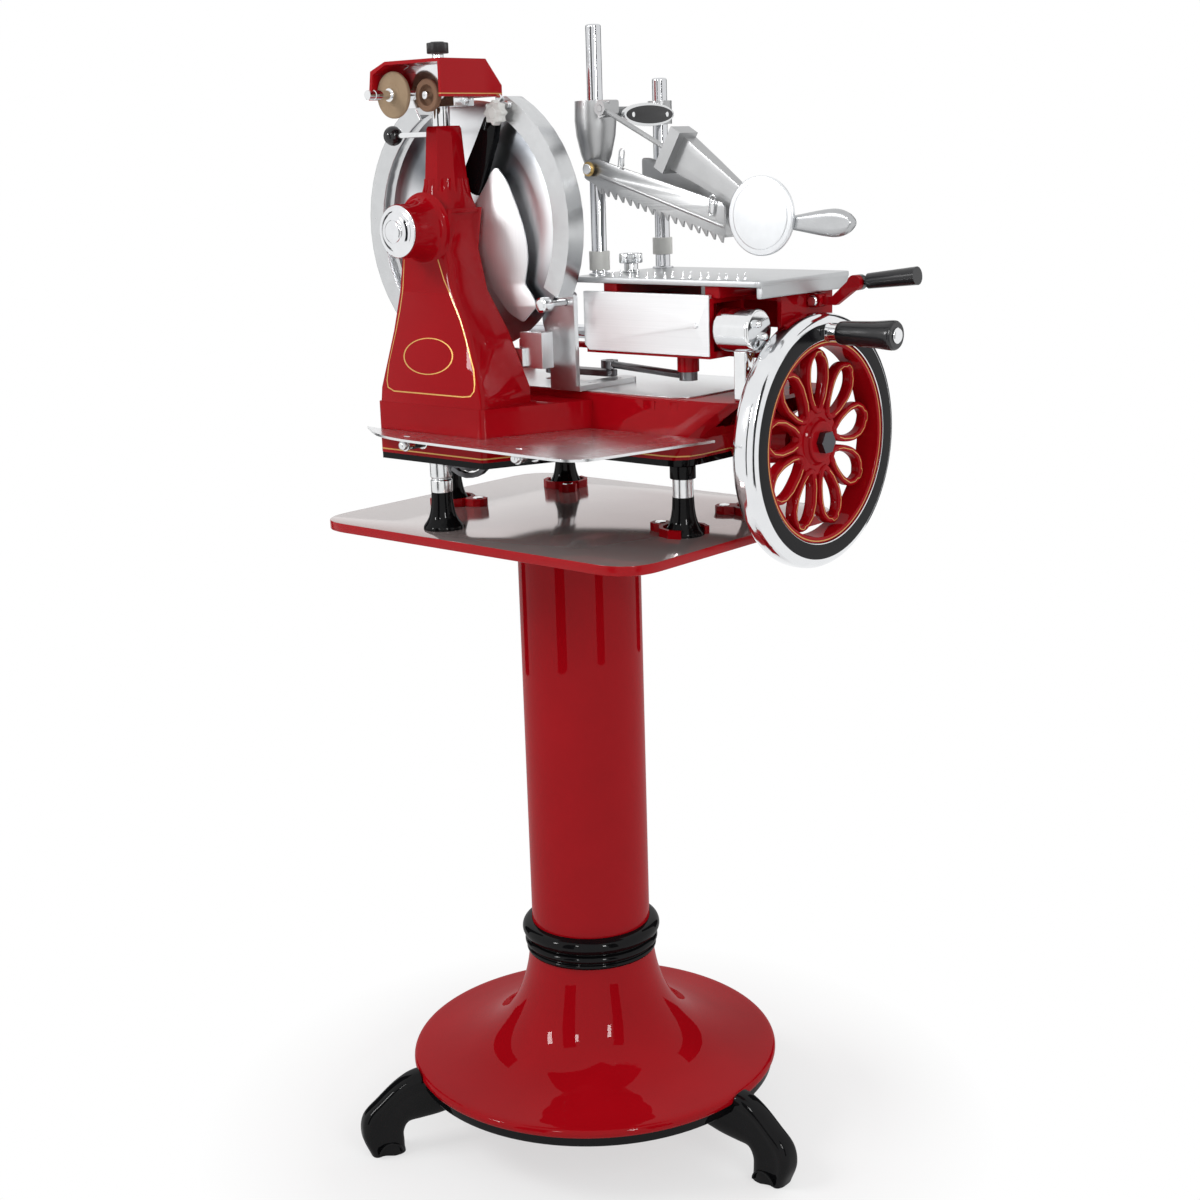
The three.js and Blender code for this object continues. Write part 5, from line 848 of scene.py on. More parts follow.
# Cap on the bearing boss: turned, stepped and polished, pressed into the boss over the end of the
# blade's shaft.
cap_line = [
    (0, -200), (11.5, -200), (13.1, -199.2), (13.6, -197.6), (15.4, -196.9), (19.5, -196.4),
    (22.4, -194.8), (24.4, -193), (27.2, -192.3), (30.0, -191.9), (30.5, -191.3), (30.5, -190),
    (0, -190),
]
bright_part("boss_cap", cap_line, "y", boss_place, 96, "stand", "blade_cap", ease=(0.5, 3), crease=30,
            shade=(0.86, 0.87, 0.89), rough=0.09)

# Guard ring: a cast aluminium band round the blade's edge, in two parts, turned on its face. A
# steel bracket with a thumb screw carries the right part, and two slotted screws join the parts.
guard_metal = bright_turning("guard_satin", "y", boss_place, (0.66, 0.67, 0.68), 0.24, 0.8)
relieved("guard_ring_right", 1.0, guard_metal, "cast_aluminium", "stand")
relieved("guard_ring_left", 1.0, guard_metal, "cast_aluminium", "stand")
bracket_metal = bright_turning("bracket_satin", "y", (20, 1040), (0.7, 0.71, 0.72), 0.3, 2.2)
relieved("guard_bracket", 0.9, bracket_metal, "satin_steel", "stand")
screw_line = [
    (0, -96), (6.4, -96), (7.6, -95.2), (9, -94.4), (9, -81), (8, -80), (6.2, -79), (6.2, -78), (4, -78),
    (4, -44), (0, -44),
]
thumb_place = (36, 1084)
bright_part("thumb_screw_turned", screw_line, "y", thumb_place, 64, "thumb_screw_body", "thumb_screw",
            ease=(0.4, 2), rough=0.12)
head_line = [(0, -81), (4.6, -81), (4.6, -78.02), (0, -78.02)]
for i, place in enumerate([(-33, 1324), (-21, 1316)]):
    bright_part(f"ring_screw_{i + 1}", head_line, "y", place, 32, "stand", ease=(0.6, 2), rough=0.12)

# Deflector: a satin steel vane before the blade, on a black forged arm that the star knob clamps.
# The vane's lower end leans away from the blade, and it is bent a little hollow.
vane_line = [
    (-44.3, 1244.6), (-30.8, 1229.2), (-18, 1199.7), (-7.9, 1173.8), (-3.2, 1152.6), (-2.7, 1132.5),
    (-8.9, 1106.3), (2.6, 1092.2), (9, 1080), (-14, 1060), (-37.1, 1072.3), (-56.2, 1097.4), (-77, 1120),
    (-92, 1150), (-96, 1180.2), (-78.4, 1200.4), (-61.1, 1225), (-51.7, 1240.1),
]
vane_reach = [4, 10, 10, 10, 8, 8, 3, 3, 3, 4, 8, 10, 10, 10, 8, 8, 8, 4]
vane_edge, vane_lean, vane_hollow, vane_width = 9, 0.14, 3, 105
vane = sawn("deflector_vane", "y", [eased(vane_line, vane_reach, 4, True)], -72, -70, edge=0.4)
for v in vane.data.vertices:
    aside = vane_edge - measured(v)[0]
    bend = vane_hollow * math.sin(math.pi * min(max(aside / vane_width, 0), 1))
    v.co.y -= (aside * vane_lean - bend) / 1000
vane.data.update()
vane_satin = brushed_sheet("vane_satin", (1, 1, 50), (0.84, 0.85, 0.86), 0.5)
dressed(vane, "stand", "satin_steel", vane_satin, "deflector")
arm_line = [
    (-53.7, 1304), (-34.2, 1300), (-40.4, 1275.9), (-67.3, 1217.8), (-72, 1211), (-82, 1214), (-92, 1228),
    (-93, 1241.8), (-74.1, 1270.9),
]
vane_arm = sawn("deflector_arm_forged", "y", [eased(arm_line, 3, 3, True)], -84, -73.5, edge=1.2)
dressed(vane_arm, "stand", "black_paint", black_enamel("vane_arm_black", 16.0), "deflector_arm")


def moulding(name, low, high, rough=0.3):
    """Moulded plastic: even colour, a faint skin and light handling marks."""
    finish = Finish(name, ior=1.49)
    marks = finish.noise(9, 5)
    finish.feed(base_color=finish.blend(marks, low, high), roughness=rough * 0.8 + marks * rough * 0.4)
    finish.feed(normal=finish.relief(finish.noise(0.8, 2), 0.01, 0.4))
    return finish


star_place = (-29, 1307)
star_line = ring_line(star_place, lambda i, turn: 13.2 + 1.4 * math.cos(8 * turn), 72)
star_white = moulding("star_white", (0.66, 0.66, 0.63), (0.78, 0.78, 0.76), 0.28)
knob = sawn("star_knob_lobes", "y", [star_line], -96, -84, edge=1.6)
dressed(knob, "star_knob_body", "white_plastic", star_white, "star_knob")
button_line = [(0, -97.2), (6.4, -97.2), (7, -96), (7, -95), (0, -95)]
lathed("star_knob_boss", button_line, "y", star_place, 48, "star_knob_body", "white_plastic", star_white,
       ease=(0.6, 2))
relieved("drip_cup", 0.5, brushed_sheet("cup_satin", (1, 1, 30)), "cast_aluminium", "stand", 1)

# Receiving tray: satin stainless sheet on two plug pins, its long edges turned down slightly. On
# each pin sit a cap nut, a black sleeve and a bright ring, and a strap ties the pin to the sheet.
tray_satin = brushed_sheet("tray_satin", (70, 1, 1), (0.84, 0.85, 0.86), 0.26)
relieved("receiving_tray", 0.9, tray_satin, "satin_steel", "tray_body", 3)
pin_level, tray_floor, strap_half = 924.5, 931.5, 5
sleeve_black = moulding("sleeve_black", (0.012, 0.013, 0.014), (0.03, 0.032, 0.034), 0.4)
nut_line = [
    (0, -226), (3.4, -225.4), (5.4, -223.4), (6, -221), (6, -219), (7.6, -218.6), (7.6, -215.4),
    (6.4, -215), (6.4, -207), (0, -207),
]
sleeve_line = [(4.1, -207), (6.6, -207), (6.6, -191), (4.1, -191), (4.1, -206.9)]
collar_line = [
    (4.1, -190.8), (8.2, -190.8), (9, -190), (9, -187.6), (8.2, -186.8), (4.1, -186.8), (4.1, -190.7),
]
for side, x in (("left", -79), ("right", 105)):
    place = (x, pin_level)
    nut_bright = bright_turning(f"tray_nut_bright_{side}", "y", place, (0.8, 0.81, 0.82), 0.12)
    lathed(f"tray_nut_{side}", nut_line, "y", place, 40, "tray_body", "chrome", nut_bright, ease=(0.6, 2))
    sleeve = turned(f"tray_sleeve_{side}", sleeve_line, "y", place, 40)
    dressed(sleeve, "tray_body", "black_plastic", sleeve_black)
    dressed(turned(f"tray_ring_{side}", collar_line, "y", place, 48), "tray_body", "chrome", nut_bright)
    low, high = pin_level, tray_floor + 3.6
    strap = [(x - strap_half, low), (x - strap_half, high), (x + strap_half, high), (x + strap_half, low)]
    strap = eased(strap, [0, 1.2, 1.2, 0], 2, True)
    strap = sawn(f"tray_strap_{side}", "y", [strap], -215, -212.8, edge=0.3)
    dressed(strap, "tray_body", "chrome", nut_bright)

# Sharpener: a chromed stem carries a red pressed cover with a chromed block in it; the block's
# two pins hold a tan grinding disc and a brown honing cup, and a black knurled knob locks it.
stem_place = (-101, -110)
chrome = (0.88, 0.89, 0.9)
stem_line = [(0, 1232), (11, 1232), (11, 1365), (0, 1365)]
bright_part("sharpener_stem_turned", stem_line, "z", stem_place, 64, "stem_body", "sharpener_stem",
            ease=(0.8, 2), shade=chrome, rough=0.07, pitch=1.2)


def cover_and_block():
    """Red enamel on the pressed cover, chrome on the block below it, gold along the cover's edge."""
    finish = Finish("cover_red_and_chrome", ior=1.5, specular_ior_level=0.15)
    x, y, z = finish.spot()
    chromed = (z < 1325.8).at_least((abs(x + 101) < 41.2) * (abs(y + 111) < 17.2) * (z < 1364.6))
    gold = (abs(z - 1329.5) < 0.55) * (x > -162.2)
    red = finish.blend(gold, (0.36, 0.0028, 0.007), (0.6, 0.36, 0.12))
    haze = finish.noise(30, 3)
    bright = finish.blend(haze, (0.78, 0.79, 0.81), (0.88, 0.89, 0.9))
    finish.feed(base_color=finish.blend(chromed, red, bright), metallic=chromed)
    finish.feed(roughness=0.12 - chromed * 0.03 + haze * 0.03)
    fine = finish.relief(finish.noise(1.4, 2), 0.005, 0.4)
    finish.feed(normal=finish.relief(finish.noise(18, 1), 0.12, 0.3, fine))
    return finish


relieved("sharpener_hood", 2.2, cover_and_block(), "red_paint", "hood_body", 4, 24)
knurled_line = ring_line(stem_place, lambda i, turn: 13 - (0.55 if i % 2 else 0), 120)
knurl_black = moulding("knurl_black", (0.012, 0.012, 0.013), (0.03, 0.03, 0.032), 0.4)
head = sawn("sharpener_knob_knurl", "z", [knurled_line], 1377.5, 1390, edge=0.9)
dressed(head, "hood_knob_body", "black_plastic", knurl_black, "sharpener_knob")
neck_line = [(0, 1369), (8.6, 1369), (8.6, 1371.2), (7, 1372), (7, 1378), (0, 1378)]
neck_bright = bright_turning("knob_neck_bright", "z", stem_place, rough=0.15)
crown_line = [(0, 1390), (8.2, 1390), (8.2, 1391), (0, 1391)]
for name, line, finish in (("neck", neck_line, neck_bright), ("crown", crown_line, knurl_black)):
    lathed(f"sharpener_knob_{name}", line, "z", stem_place, 48, "hood_knob_body", "black_plastic", finish,
           ease=(0.4, 2))


def gritty(name, low, high, grit=0.9):
    """Bonded abrasive: coloured grains, with a rough skin that scatters light."""
    finish = Finish(name, ior=1.4)
    grains = finish.noise(grit, 4)
    cloud = finish.noise(16, 3)
    finish.feed(base_color=finish.blend(grains * 0.65 + cloud * 0.35, low, high))
    finish.feed(roughness=0.82 + grains * 0.12)
    finish.feed(normal=finish.relief(grains, 0.12, 0.7))
    return finish


stone_place, cup_place = (-130, 1331), (-84, 1329)
grinding_line = [
    (5.6, -161), (12, -161), (12.4, -160.4), (25.6, -160.4), (27, -159.4), (27, -156.2), (26, -155),
    (5.6, -155),
]
lathed("grinding_disc", grinding_line, "y", stone_place, 96, "grinding_body", "tan_stone",
       gritty("grinding_tan", (0.20, 0.13, 0.075), (0.46, 0.34, 0.22)), "grinding_wheel")
pin_line = [
    (0, -201), (4.3, -201), (5.5, -199.8), (5.5, -192), (4.9, -191.5), (4.9, -190.3), (5.5, -189.8),
    (5.5, -166), (7.8, -165.6), (7.8, -161.2), (5.5, -161), (5.5, -128.3), (0, -128.3),
]
bright_part("grinding_pin", pin_line, "y", stone_place, 48, "grinding_body", ease=(0,), shade=chrome,
            rough=0.1)
cup_line = [
    (4.6, -142.6), (11.4, -142.6), (12, -143.2), (12, -148.4), (12.6, -149), (17.8, -149), (19, -147.9),
    (18.6, -143), (17.2, -140.4), (16.4, -140), (4.6, -140),
]
lathed("honing_cup_turned", cup_line, "y", cup_place, 72, "honing_body", "brown_stone",
       gritty("honing_brown", (0.13, 0.062, 0.035), (0.32, 0.19, 0.12), 0.7), "honing_cup", ease=(0.4, 2))
pin_line = [(0, -152), (4.5, -152), (4.5, -128.3), (0, -128.3)]
bright_part("honing_pin", pin_line, "y", cup_place, 40, "honing_body", ease=(0.7, 2), rough=0.1)

# Clamp rod of the stem: a thin chromed rod with a pressed-on black plastic ball. Turning it
# holds the stem in the tall post.
rod_place, ball_middle, ball_radius = (-110, 1285), -186, 12
clamp_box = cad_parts["clamp_ball_lever"].bound_box
clamp_inner = max(corner[0] for corner in clamp_box) * 1000 + axis_shift
clamp_line = [(0, -187), (3.2, -187), (3.2, clamp_inner), (0, clamp_inner)]
bright_part("clamp_rod", clamp_line, "x", rod_place, 40, "clamp_lever_body", "clamp_ball_lever", ease=(0,),
            shade=chrome, rough=0.08, pitch=1.5)
ball_line = [(0, ball_middle - ball_radius)]
for i in range(1, 40):
    turn = math.pi * i / 40
    ball_line.append((ball_radius * math.sin(turn), ball_middle - ball_radius * math.cos(turn)))
ball = turned("clamp_ball", ball_line + [(0, ball_middle + ball_radius)], "x", rod_place, 64)
dressed(ball, "clamp_lever_body", "black_plastic",
        moulding("ball_black", (0.008, 0.008, 0.009), (0.02, 0.02, 0.022), 0.16))

# Flywheel: cast in iron with nine round-ended loops between hub and felloe, red enamel, a gold
# line by hand round each loop and round the felloe. Its shaft ends in a dark hexagon bolt.
wheel_place, petal_count = (70, 921), 9
petal_step = 2 * math.pi / petal_count
petal_inner, petal_outer, petal_half = 40, 101, 14.5
petal_shares = [(0, 0.16), (0.2, 0.62), (0.52, 0.99), (0.78, 0.95), (0.93, 0.6), (1, 0.15)]
web_back, web_front, petal_band = 306, 321, 7.6
felloe_inner, felloe_outer, felloe_back, felloe_front = 112.2, 119.2, 300, 331


def loop_outline(grow):
    """One loop's outline beside the wheel's own radius, grown by a band."""
    length = petal_outer - petal_inner
    line = flowing([(petal_inner + s * length, petal_half * w) for s, w in petal_shares], 8)
    line = [(line[0][0], 0), *line, (petal_outer + 0.6, 0)]
    out = [(line[0][0] - grow, 0)]
    for before, (r, w), after in zip(line, line[1:], line[2:]):
        dr, dw = after[0] - before[0], after[1] - before[1]
        size = math.hypot(dr, dw) or 1
        out.append((r - dw / size * grow, max(w + dr / size * grow, 0)))
    out.append((line[-1][0] + grow, 0))
    return out + [(r, -w) for r, w in out[-2:0:-1]]


def on_wheel(outline, angle):
    c, s = math.cos(angle), math.sin(angle)
    return [(wheel_place[0] + r * c - w * s, wheel_place[1] + r * s + w * c) for r, w in outline]


gold_off, gold_half, gold_start, gold_end = 4.2, 0.5, 43, 107.5
ring_gold, ring_gold_half = 116.6, 0.6


def wheel_gold(finish):
    """Gold round each loop, on the web's front: the distance is read off the loop's own width."""
    x, y, z = finish.spot()
    front = abs(finish.facing()[0]) > 0.8
    off_y, off_z = y - wheel_place[0], z - wheel_place[1]
    radius = apart(off_y, off_z)
    turned_by = {0: off_z.arctan2(off_y) - math.pi / 2, 1: petal_step / 2, 2: -petal_step / 2}
    turn = finish.add("ShaderNodeMath", {"operation": "WRAP"}, turned_by)[0]
    along, aside = radius * turn.cosine(), abs(radius * turn.wave())
    width = finish.ramp((along - petal_inner) / (petal_outer - petal_inner), petal_shares) * petal_half
    beyond = (along - petal_outer).at_least(0.0)
    gap = aside - width
    reach = (gap * gap * (gap > 0.0) + beyond * beyond).root()
    line = (abs(reach - gold_off) < gold_half) * (radius < gold_end) * (along > gold_start)
    return line.at_least(abs(radius - ring_gold) < ring_gold_half) * front


wheel_red = red_enamel("wheel_red", 30.0, wheel_gold)
petals = []
for i in range(petal_count):
    angle = math.pi / 2 + i * petal_step
    petals.append([on_wheel(loop_outline(grow), angle) for grow in (petal_band, 0.0)])
web = sawn("wheel_web", "x", petals, web_back, web_front, edge=3.2, many=True)
dressed(web, "wheel", "red_paint", wheel_red, "flywheel")
foot_line = [(8.4, 308), (40, 308), (43, 312), (40, 318.4), (8.4, 318.4)]
felloe_line = [
    (felloe_inner, 315), (felloe_inner, felloe_front), (felloe_outer, felloe_front),
    (felloe_outer, felloe_back), (felloe_inner, felloe_back), (felloe_inner, 314.9),
]
hub_line = [
    (8.4, 300), (27, 300), (28, 301), (28, 305), (29, 307), (29, 318), (25.4, 321.5), (24.4, 325),
    (23, 326), (17, 326), (8.4, 326),
]
for name, line, sides, ease in (
    ("web_foot", foot_line, 96, 2.0), ("felloe", felloe_line, 144, 1.6), ("hub", hub_line, 96, 1.4),
):
    lathed(f"wheel_{name}", line, "x", wheel_place, sides, "wheel", "red_paint", wheel_red, ease=(ease, 4))
shaft_dark = bright_turning("shaft_dark", "x", wheel_place, (0.09, 0.09, 0.1), 0.3)
relieved("flywheel_shaft", 0.5, shaft_dark, "dark_steel", "wheel")

# Rim: a heavy steel tyre, turned to a crown, chromed, with a band of black enamel on its front. It is
# shrunk onto the felloe.
band_inner, band_outer, band_front = 120.5, 138.2, 332.2


def rim_finish():
    finish = Finish("rim_chrome_and_band", ior=1.5, specular_ior_level=0.12)
    x, y, z = finish.spot()
    radius = apart(y - wheel_place[0], z - wheel_place[1])
    band = (radius > band_inner) * (radius < band_outer) * (x > band_front)
    haze = finish.noise(24, 4)
    fine = (radius * 5.2).wave() * 0.5 + (x * 5.2).wave() * 0.5
    chrome = finish.blend(haze, (0.74, 0.75, 0.77), (0.84, 0.85, 0.86))
    finish.feed(base_color=finish.blend(band, chrome, (0.006, 0.006, 0.007)), metallic=1.0 - band)
    finish.feed(roughness=0.07 + haze * 0.05 + band * 0.08)
    finish.feed(normal=finish.relief(fine * 0.5 + 0.5, 0.003, 0.25, finish.relief(haze, 0.05, 0.2)))
    return finish


rim_line = [
    (119.6, 300), (121, 298.6), (134.75, 298), (141, 299.6), (146.4, 303.4), (149.2, 308), (150, 313),
    (150, 320), (149.3, 324.6), (147, 328.4), (143.4, 331.2), (139.4, 332.6), (138.6, 333), (120.4, 333),
    (119.6, 332.2),
]
lathed("rim_turned", rim_line, "x", wheel_place, 224, "wheel", "chrome", rim_finish(), "flywheel_rim",
       ease=(1.4, 3))

# Grip of the flywheel: a black moulded handle that turns on a chromed pin, with a ferrule.
grip_place, grip_radius, grip_start, grip_length, grip_bore = (70, 1049), 13.5, 349, 76, 5.4
pin_line = [
    (0, 332.6), (11, 332.6), (11, 335), (10, 338), (9.4, 345), (9.2, 348.8), (5, 348.8), (5, 425.3),
    (9.2, 425.3), (9.2, 426.6), (7.5, 428), (0, 428),
]
bright_part("grip_pin_turned", pin_line, "x", grip_place, 48, "wheel", "grip_pin", shade=chrome, rough=0.09)
grip_shares = [(0, 0.85), (0.05, 1), (0.3, 1.06), (0.6, 1.12), (0.93, 1.26), (1, 1.12)]
grip_skin = flowing([(grip_radius * w, grip_start + grip_length * s) for s, w in grip_shares], 8)
grip_profile = [(grip_bore, grip_start + grip_length), (grip_bore, grip_start), *grip_skin]
dressed(turned("wheel_grip_moulded", grip_profile, "x", grip_place, 72), "turning_grip", "black_plastic",
        moulding("grip_black", (0.006, 0.006, 0.007), (0.018, 0.018, 0.02), 0.2), "wheel_grip")

# Guide of the carriage: a ground bar between a left block and a chromed cap; the left block, the
# rear rail and its posts are one red frame. Two cap nuts close the chromed cap.
guide_place, cap_place, ground = (-15, 1046), (-15, 1057), (0.86, 0.87, 0.89)
bar_line = [(0, -212), (8.5, -212), (8.5, 256), (0, 256)]
bright_part("guide_bar_ground", bar_line, "x", guide_place, 64, "stand", "guide_bar", ease=(0.8, 2),
            shade=ground, rough=0.1, pitch=0.9)
relieved("rear_frame", 1.6, red_enamel("frame_red", 24.0), "red_paint", "stand", 3)
cap_bright = bright_turning("cap_chrome", "x", cap_place, chrome, 0.08, 1.3)
relieved("guide_support_right", 1.6, cap_bright, "chrome", "stand", 3)
nut_line = [(0, 296.5), (4.6, 296.5), (4.6, 300), (4.2, 301.6), (2.8, 303.2), (1.2, 303.8), (0, 303.9)]
for i, place in enumerate([(-21, 1065), (-9, 1050)]):
    bright_part(f"cap_nut_{i + 1}", nut_line, "x", place, 32, "stand", ease=(0,), shade=chrome, rough=0.08)

# Carriage: red casting that runs on the guide bar, with its shelf, slide bars and lever ears. A
# satin stainless sheet with a rolled top edge and a cross-slot screw covers its front.
relieved("carriage", 1.8, red_enamel("carriage_red", 22.0), "red_paint", "carriage_body", 3, 28)
sheet_satin = brushed_sheet("sheet_satin", (70, 1, 1), (0.9, 0.91, 0.92), 0.42)
relieved("carriage_sheet", 0.7, sheet_satin, "satin_steel", "carriage_body", 3)

# Connecting rod between the crank and the carriage: forged steel with a turnbuckle nut, oiled
# like the rest of the drive.
relieved("connecting_rod", 0.8, drive_steel, "dark_steel", "rod_body", 2)

# Table: a flat aluminium casting, ground on top, with a drawn-down lip at the right and two rows
# of steel spikes that hold the food.


def ground_top(name):
    """A cast slab with its top ground in one direction, and the skin of the mould elsewhere."""
    finish = Finish(name, metallic=1.0)
    flat = finish.facing()[2] > 0.9
    scratch = finish.noise(0.5, 3, (1, 60, 1))
    skin = finish.noise(0.8, 4)
    haze = finish.noise(60, 4)
    base = finish.blend(haze * 0.6 + skin * 0.4, (0.42, 0.43, 0.44), (0.64, 0.65, 0.66))
    finish.feed(base_color=base, roughness=0.42 - flat * 0.14 + haze * 0.08)
    finish.feed(normal=finish.relief(scratch * flat + skin * (1.0 - flat), 0.02, 0.5))
    return finish


def cast_skin(name, shade=(0.49, 0.495, 0.50), rough=0.36):
    """Aluminium from the mould, tumbled and polished by hand: soft lumps and a fine grain."""
    finish = Finish(name, metallic=1.0)
    skin = finish.noise(0.9, 4)
    lumps = finish.noise(13, 2)
    worn = finish.noise(34, 4)
    dark = tuple(c * 0.72 for c in shade)
    finish.feed(base_color=finish.blend(worn * 0.7 + skin * 0.3, dark, shade))
    finish.feed(roughness=rough * 0.8 + worn * rough * 0.4)
    finish.feed(normal=finish.relief(lumps, 0.25, 0.35, finish.relief(skin, 0.02, 0.5)))
    return finish


table_metal = ground_top("table_ground")
table_low, table_high = 1106.5, 1113.5
slab = sawn("table_slab", "z", [rounded_box(30, 311, -34, 152, 9, 8)], table_low, table_high, edge=1.4)
dressed(slab, "table_body", "cast_aluminium", table_metal, "table")
lip_line = [(303, 1107.5), (303, 1093.5), (311, 1093.5), (311, 1107.5)]
lip = sawn("table_lip", "y", [eased(lip_line, [0, 2.5, 2.5, 0], 4, True)], -28, 146, edge=0.8)
dressed(lip, "table_body", "cast_aluminium", table_metal)
spike_rows, spike_start, spike_reach, spike_count = (-26, -12), 66, 210, 9
spike_cone = {"Vertices": 18, "Radius Top": 0.00015}
spike_collar = {"Vertices": 24, "Radius": 0.0033, "Depth": 0.0008}
spike_sizes = [("Pin radius", "NodeSocketFloat", 0.0024), ("Pin height", "NodeSocketFloat", 0.008)]


def spike_tree(tree, sizes):
    """A pointed pin with a collar at its root on every place of the guide."""
    cone = {**spike_cone, "Radius Bottom": sizes["Pin radius"], "Depth": sizes["Pin height"]}
    pin = wired(tree, "GeometryNodeMeshCone", {}, cone).outputs["Mesh"]
    collar = wired(tree, "GeometryNodeMeshCylinder", {}, spike_collar).outputs["Mesh"]
    spread = {"Points": sizes["Geometry"], "Instance": joined(tree, pin, collar)}
    return wired(tree, "GeometryNodeInstanceOnPoints", {}, spread).outputs[0]


spike_places = [
    here(spike_start + spike_reach * i / (spike_count - 1), y, table_high) for i in range(spike_count)
    for y in spike_rows
]
spike_bright = bright_turning("spike_bright", "z", (171, -19), ground, 0.12)
guide = sheet("spike_guide", spike_places, [(i, i + 1) for i in range(len(spike_places) - 1)])
spikes = grown("table_spikes", guide, spike_sizes, spike_tree, spike_bright)
dressed(spikes, "table_body", "chrome", spike_bright)

# Two posts on the table: ground steel bars, each with a white plastic collar at its foot and a
# rounded head; the left one is the taller and carries the press.
post_rows = (("left", 8, 1405.5, 1118.5, 1141.5), ("right", 131, 1345.5, 1130.5, 1151.5))
for side, y, top, low, high in post_rows:
    place = (42, y)
    line = [
        (0, table_high), (13.5, table_high), (13.5, 1114.6), (12.4, 1115.6), (9.5, 1115.9), (9.5, top - 3),
        (9.3, top - 1.6), (8.2, top - 0.4), (6.6, top), (0, top),
    ]
    bright_part(f"post_{side}_bar", line, "z", place, 72, "table_body", f"post_{side}", ease=(0.3, 2),
                shade=(0.70, 0.71, 0.73), rough=0.1, pitch=0.9)
    line = [(9.6, low), (12.6, low), (12.6, high), (9.6, high), (9.6, low + 0.5)]
    white = moulding(f"collar_white_{side}", (0.62, 0.62, 0.59), (0.74, 0.74, 0.71))
    lathed(f"post_{side}_collar", line, "z", place, 72, "table_body", "white_plastic", white, ease=(0.9, 3))

# Knob of the table: turned steel with a knurled head between a stepped foot and a flat crown. It
# screws down into the table.
knob_place = (55, 52)
knob_bright = bright_turning("table_knob_bright", "z", knob_place, rough=0.16)
foot_line = [(0, 1113.5), (10.2, 1113.5), (10.2, 1115.4), (8.7, 1116.4), (8.7, 1125.2), (0, 1125.2)]
crown_line = [(0, 1136.2), (9.5, 1136.2), (9.5, 1137), (0, 1137)]
for name, line, nodes in (("foot", foot_line, ["table_knob"]), ("crown", crown_line, [])):
    lathed(f"table_knob_{name}", line, "z", knob_place, 64, "knob_body", "satin_steel", knob_bright, *nodes,
           ease=(0.4, 2))
knurl = ring_line(knob_place, lambda i, turn: 14.5 - (0.5 if i % 2 else 0), 144)
head = sawn("table_knob_head", "z", [knurl], 1124.8, 1136.4, edge=0.9)
dressed(head, "knob_body", "satin_steel", knob_bright)

# Press: an aluminium casting clamps both posts and carries the pins; the toothed plate hangs on a
# pivot screw with a brass ring, and two spring clips lie over its crease.
press_metal = cast_skin("press_cast")
relieved("press_bracket", 2.4, press_metal, "cast_aluminium", "bracket_body", 4, 26)
pivot = (49, 1239)
pivot_line = [(0, -20), (5.4, -20), (6.2, -19), (6.2, -16.2), (0, -16.2)]
bright_part("pivot_screw", pivot_line, "y", pivot, 40, "bracket_body", shade=chrome, rough=0.1)
pivot_line = [(4.2, -16.4), (8.6, -16.4), (8.6, -15.1), (4.2, -15.1), (4.2, -16.3)]
bright_part("pivot_ring", pivot_line, "y", pivot, 48, "bracket_body", slot="cast_aluminium", ease=(0,),
            shade=(0.62, 0.42, 0.16), rough=0.16)

press_front, press_back, tooth_count = -12, 78, 17
slope_left, slope_right, level_left, level_right = 57, 248, 1219, 1160
pitch = (slope_right - slope_left) / tooth_count
slope = (level_right - level_left) / (slope_right - slope_left)
toothed = [(39, 1229), (42, 1226.5), (54, 1221)]
for i in range(tooth_count):
    x = slope_left + i * pitch
    for across_pitch, level_share, drop in ((0, 0, 0), (0.55, 0.5, 7.4), (0.68, 0.5, 7.8), (0.8, 0.8, 0)):
        level = level_left + (x + pitch * level_share - slope_left) * slope - drop
        toothed.append((x + pitch * across_pitch, level))
toothed += [(248, 1160), (248, 1194), (244, 1199), (60, 1250), (45, 1250), (40, 1247), (39, 1240)]
floor_line = [(57, 1219), (248, 1160), (248, 1163), (57, 1222)]
back_line = [(57, 1219), (248, 1160), (248, 1183), (70, 1250), (57, 1250)]
walls = (
    ("front", [toothed, ring_line(pivot, 4.2, 24)], press_front, press_front + 3, 0.5, ["press_plate"]),
    ("floor", [floor_line], press_front + 1, press_back - 1, 0.5, []),
    ("back", [eased(back_line, [0, 0, 5, 6, 4], 4, True)], press_back - 3, press_back, 0.7, []),
)
for name, outlines, low, high, edge, nodes in walls:
    wall = sawn(f"press_{name}_wall", "y", outlines, low, high, edge=edge)
    dressed(wall, "plate_body", "cast_aluminium", press_metal, *nodes)
crease_left, crease_right, crease_high, crease_low = 62, 246, 1231.5, 1172.5
crease_bulge, crease_half = 1.4, 2.6
crease_rings = []
for share in (0, 0.02, 0.98, 1):
    x = crease_left + (crease_right - crease_left) * share
    z = crease_high + (crease_low - crease_high) * share
    size = 0.5 if share in (0, 1) else 1.0
    swell = []
    for k in range(9):
        bulge = crease_bulge * size * math.sin(math.pi * k / 8)
        swell.append((press_front - bulge + 0.2, z - crease_half + 2 * crease_half * k / 8))
    swell += [(press_front + 0.6, z + crease_half), (press_front + 0.6, z - crease_half)]
    crease_rings.append([here(x, y, z) for y, z in swell])
dressed(skinned("press_crease", crease_rings), "plate_body", "cast_aluminium", press_metal)
clip_lean = 0.16
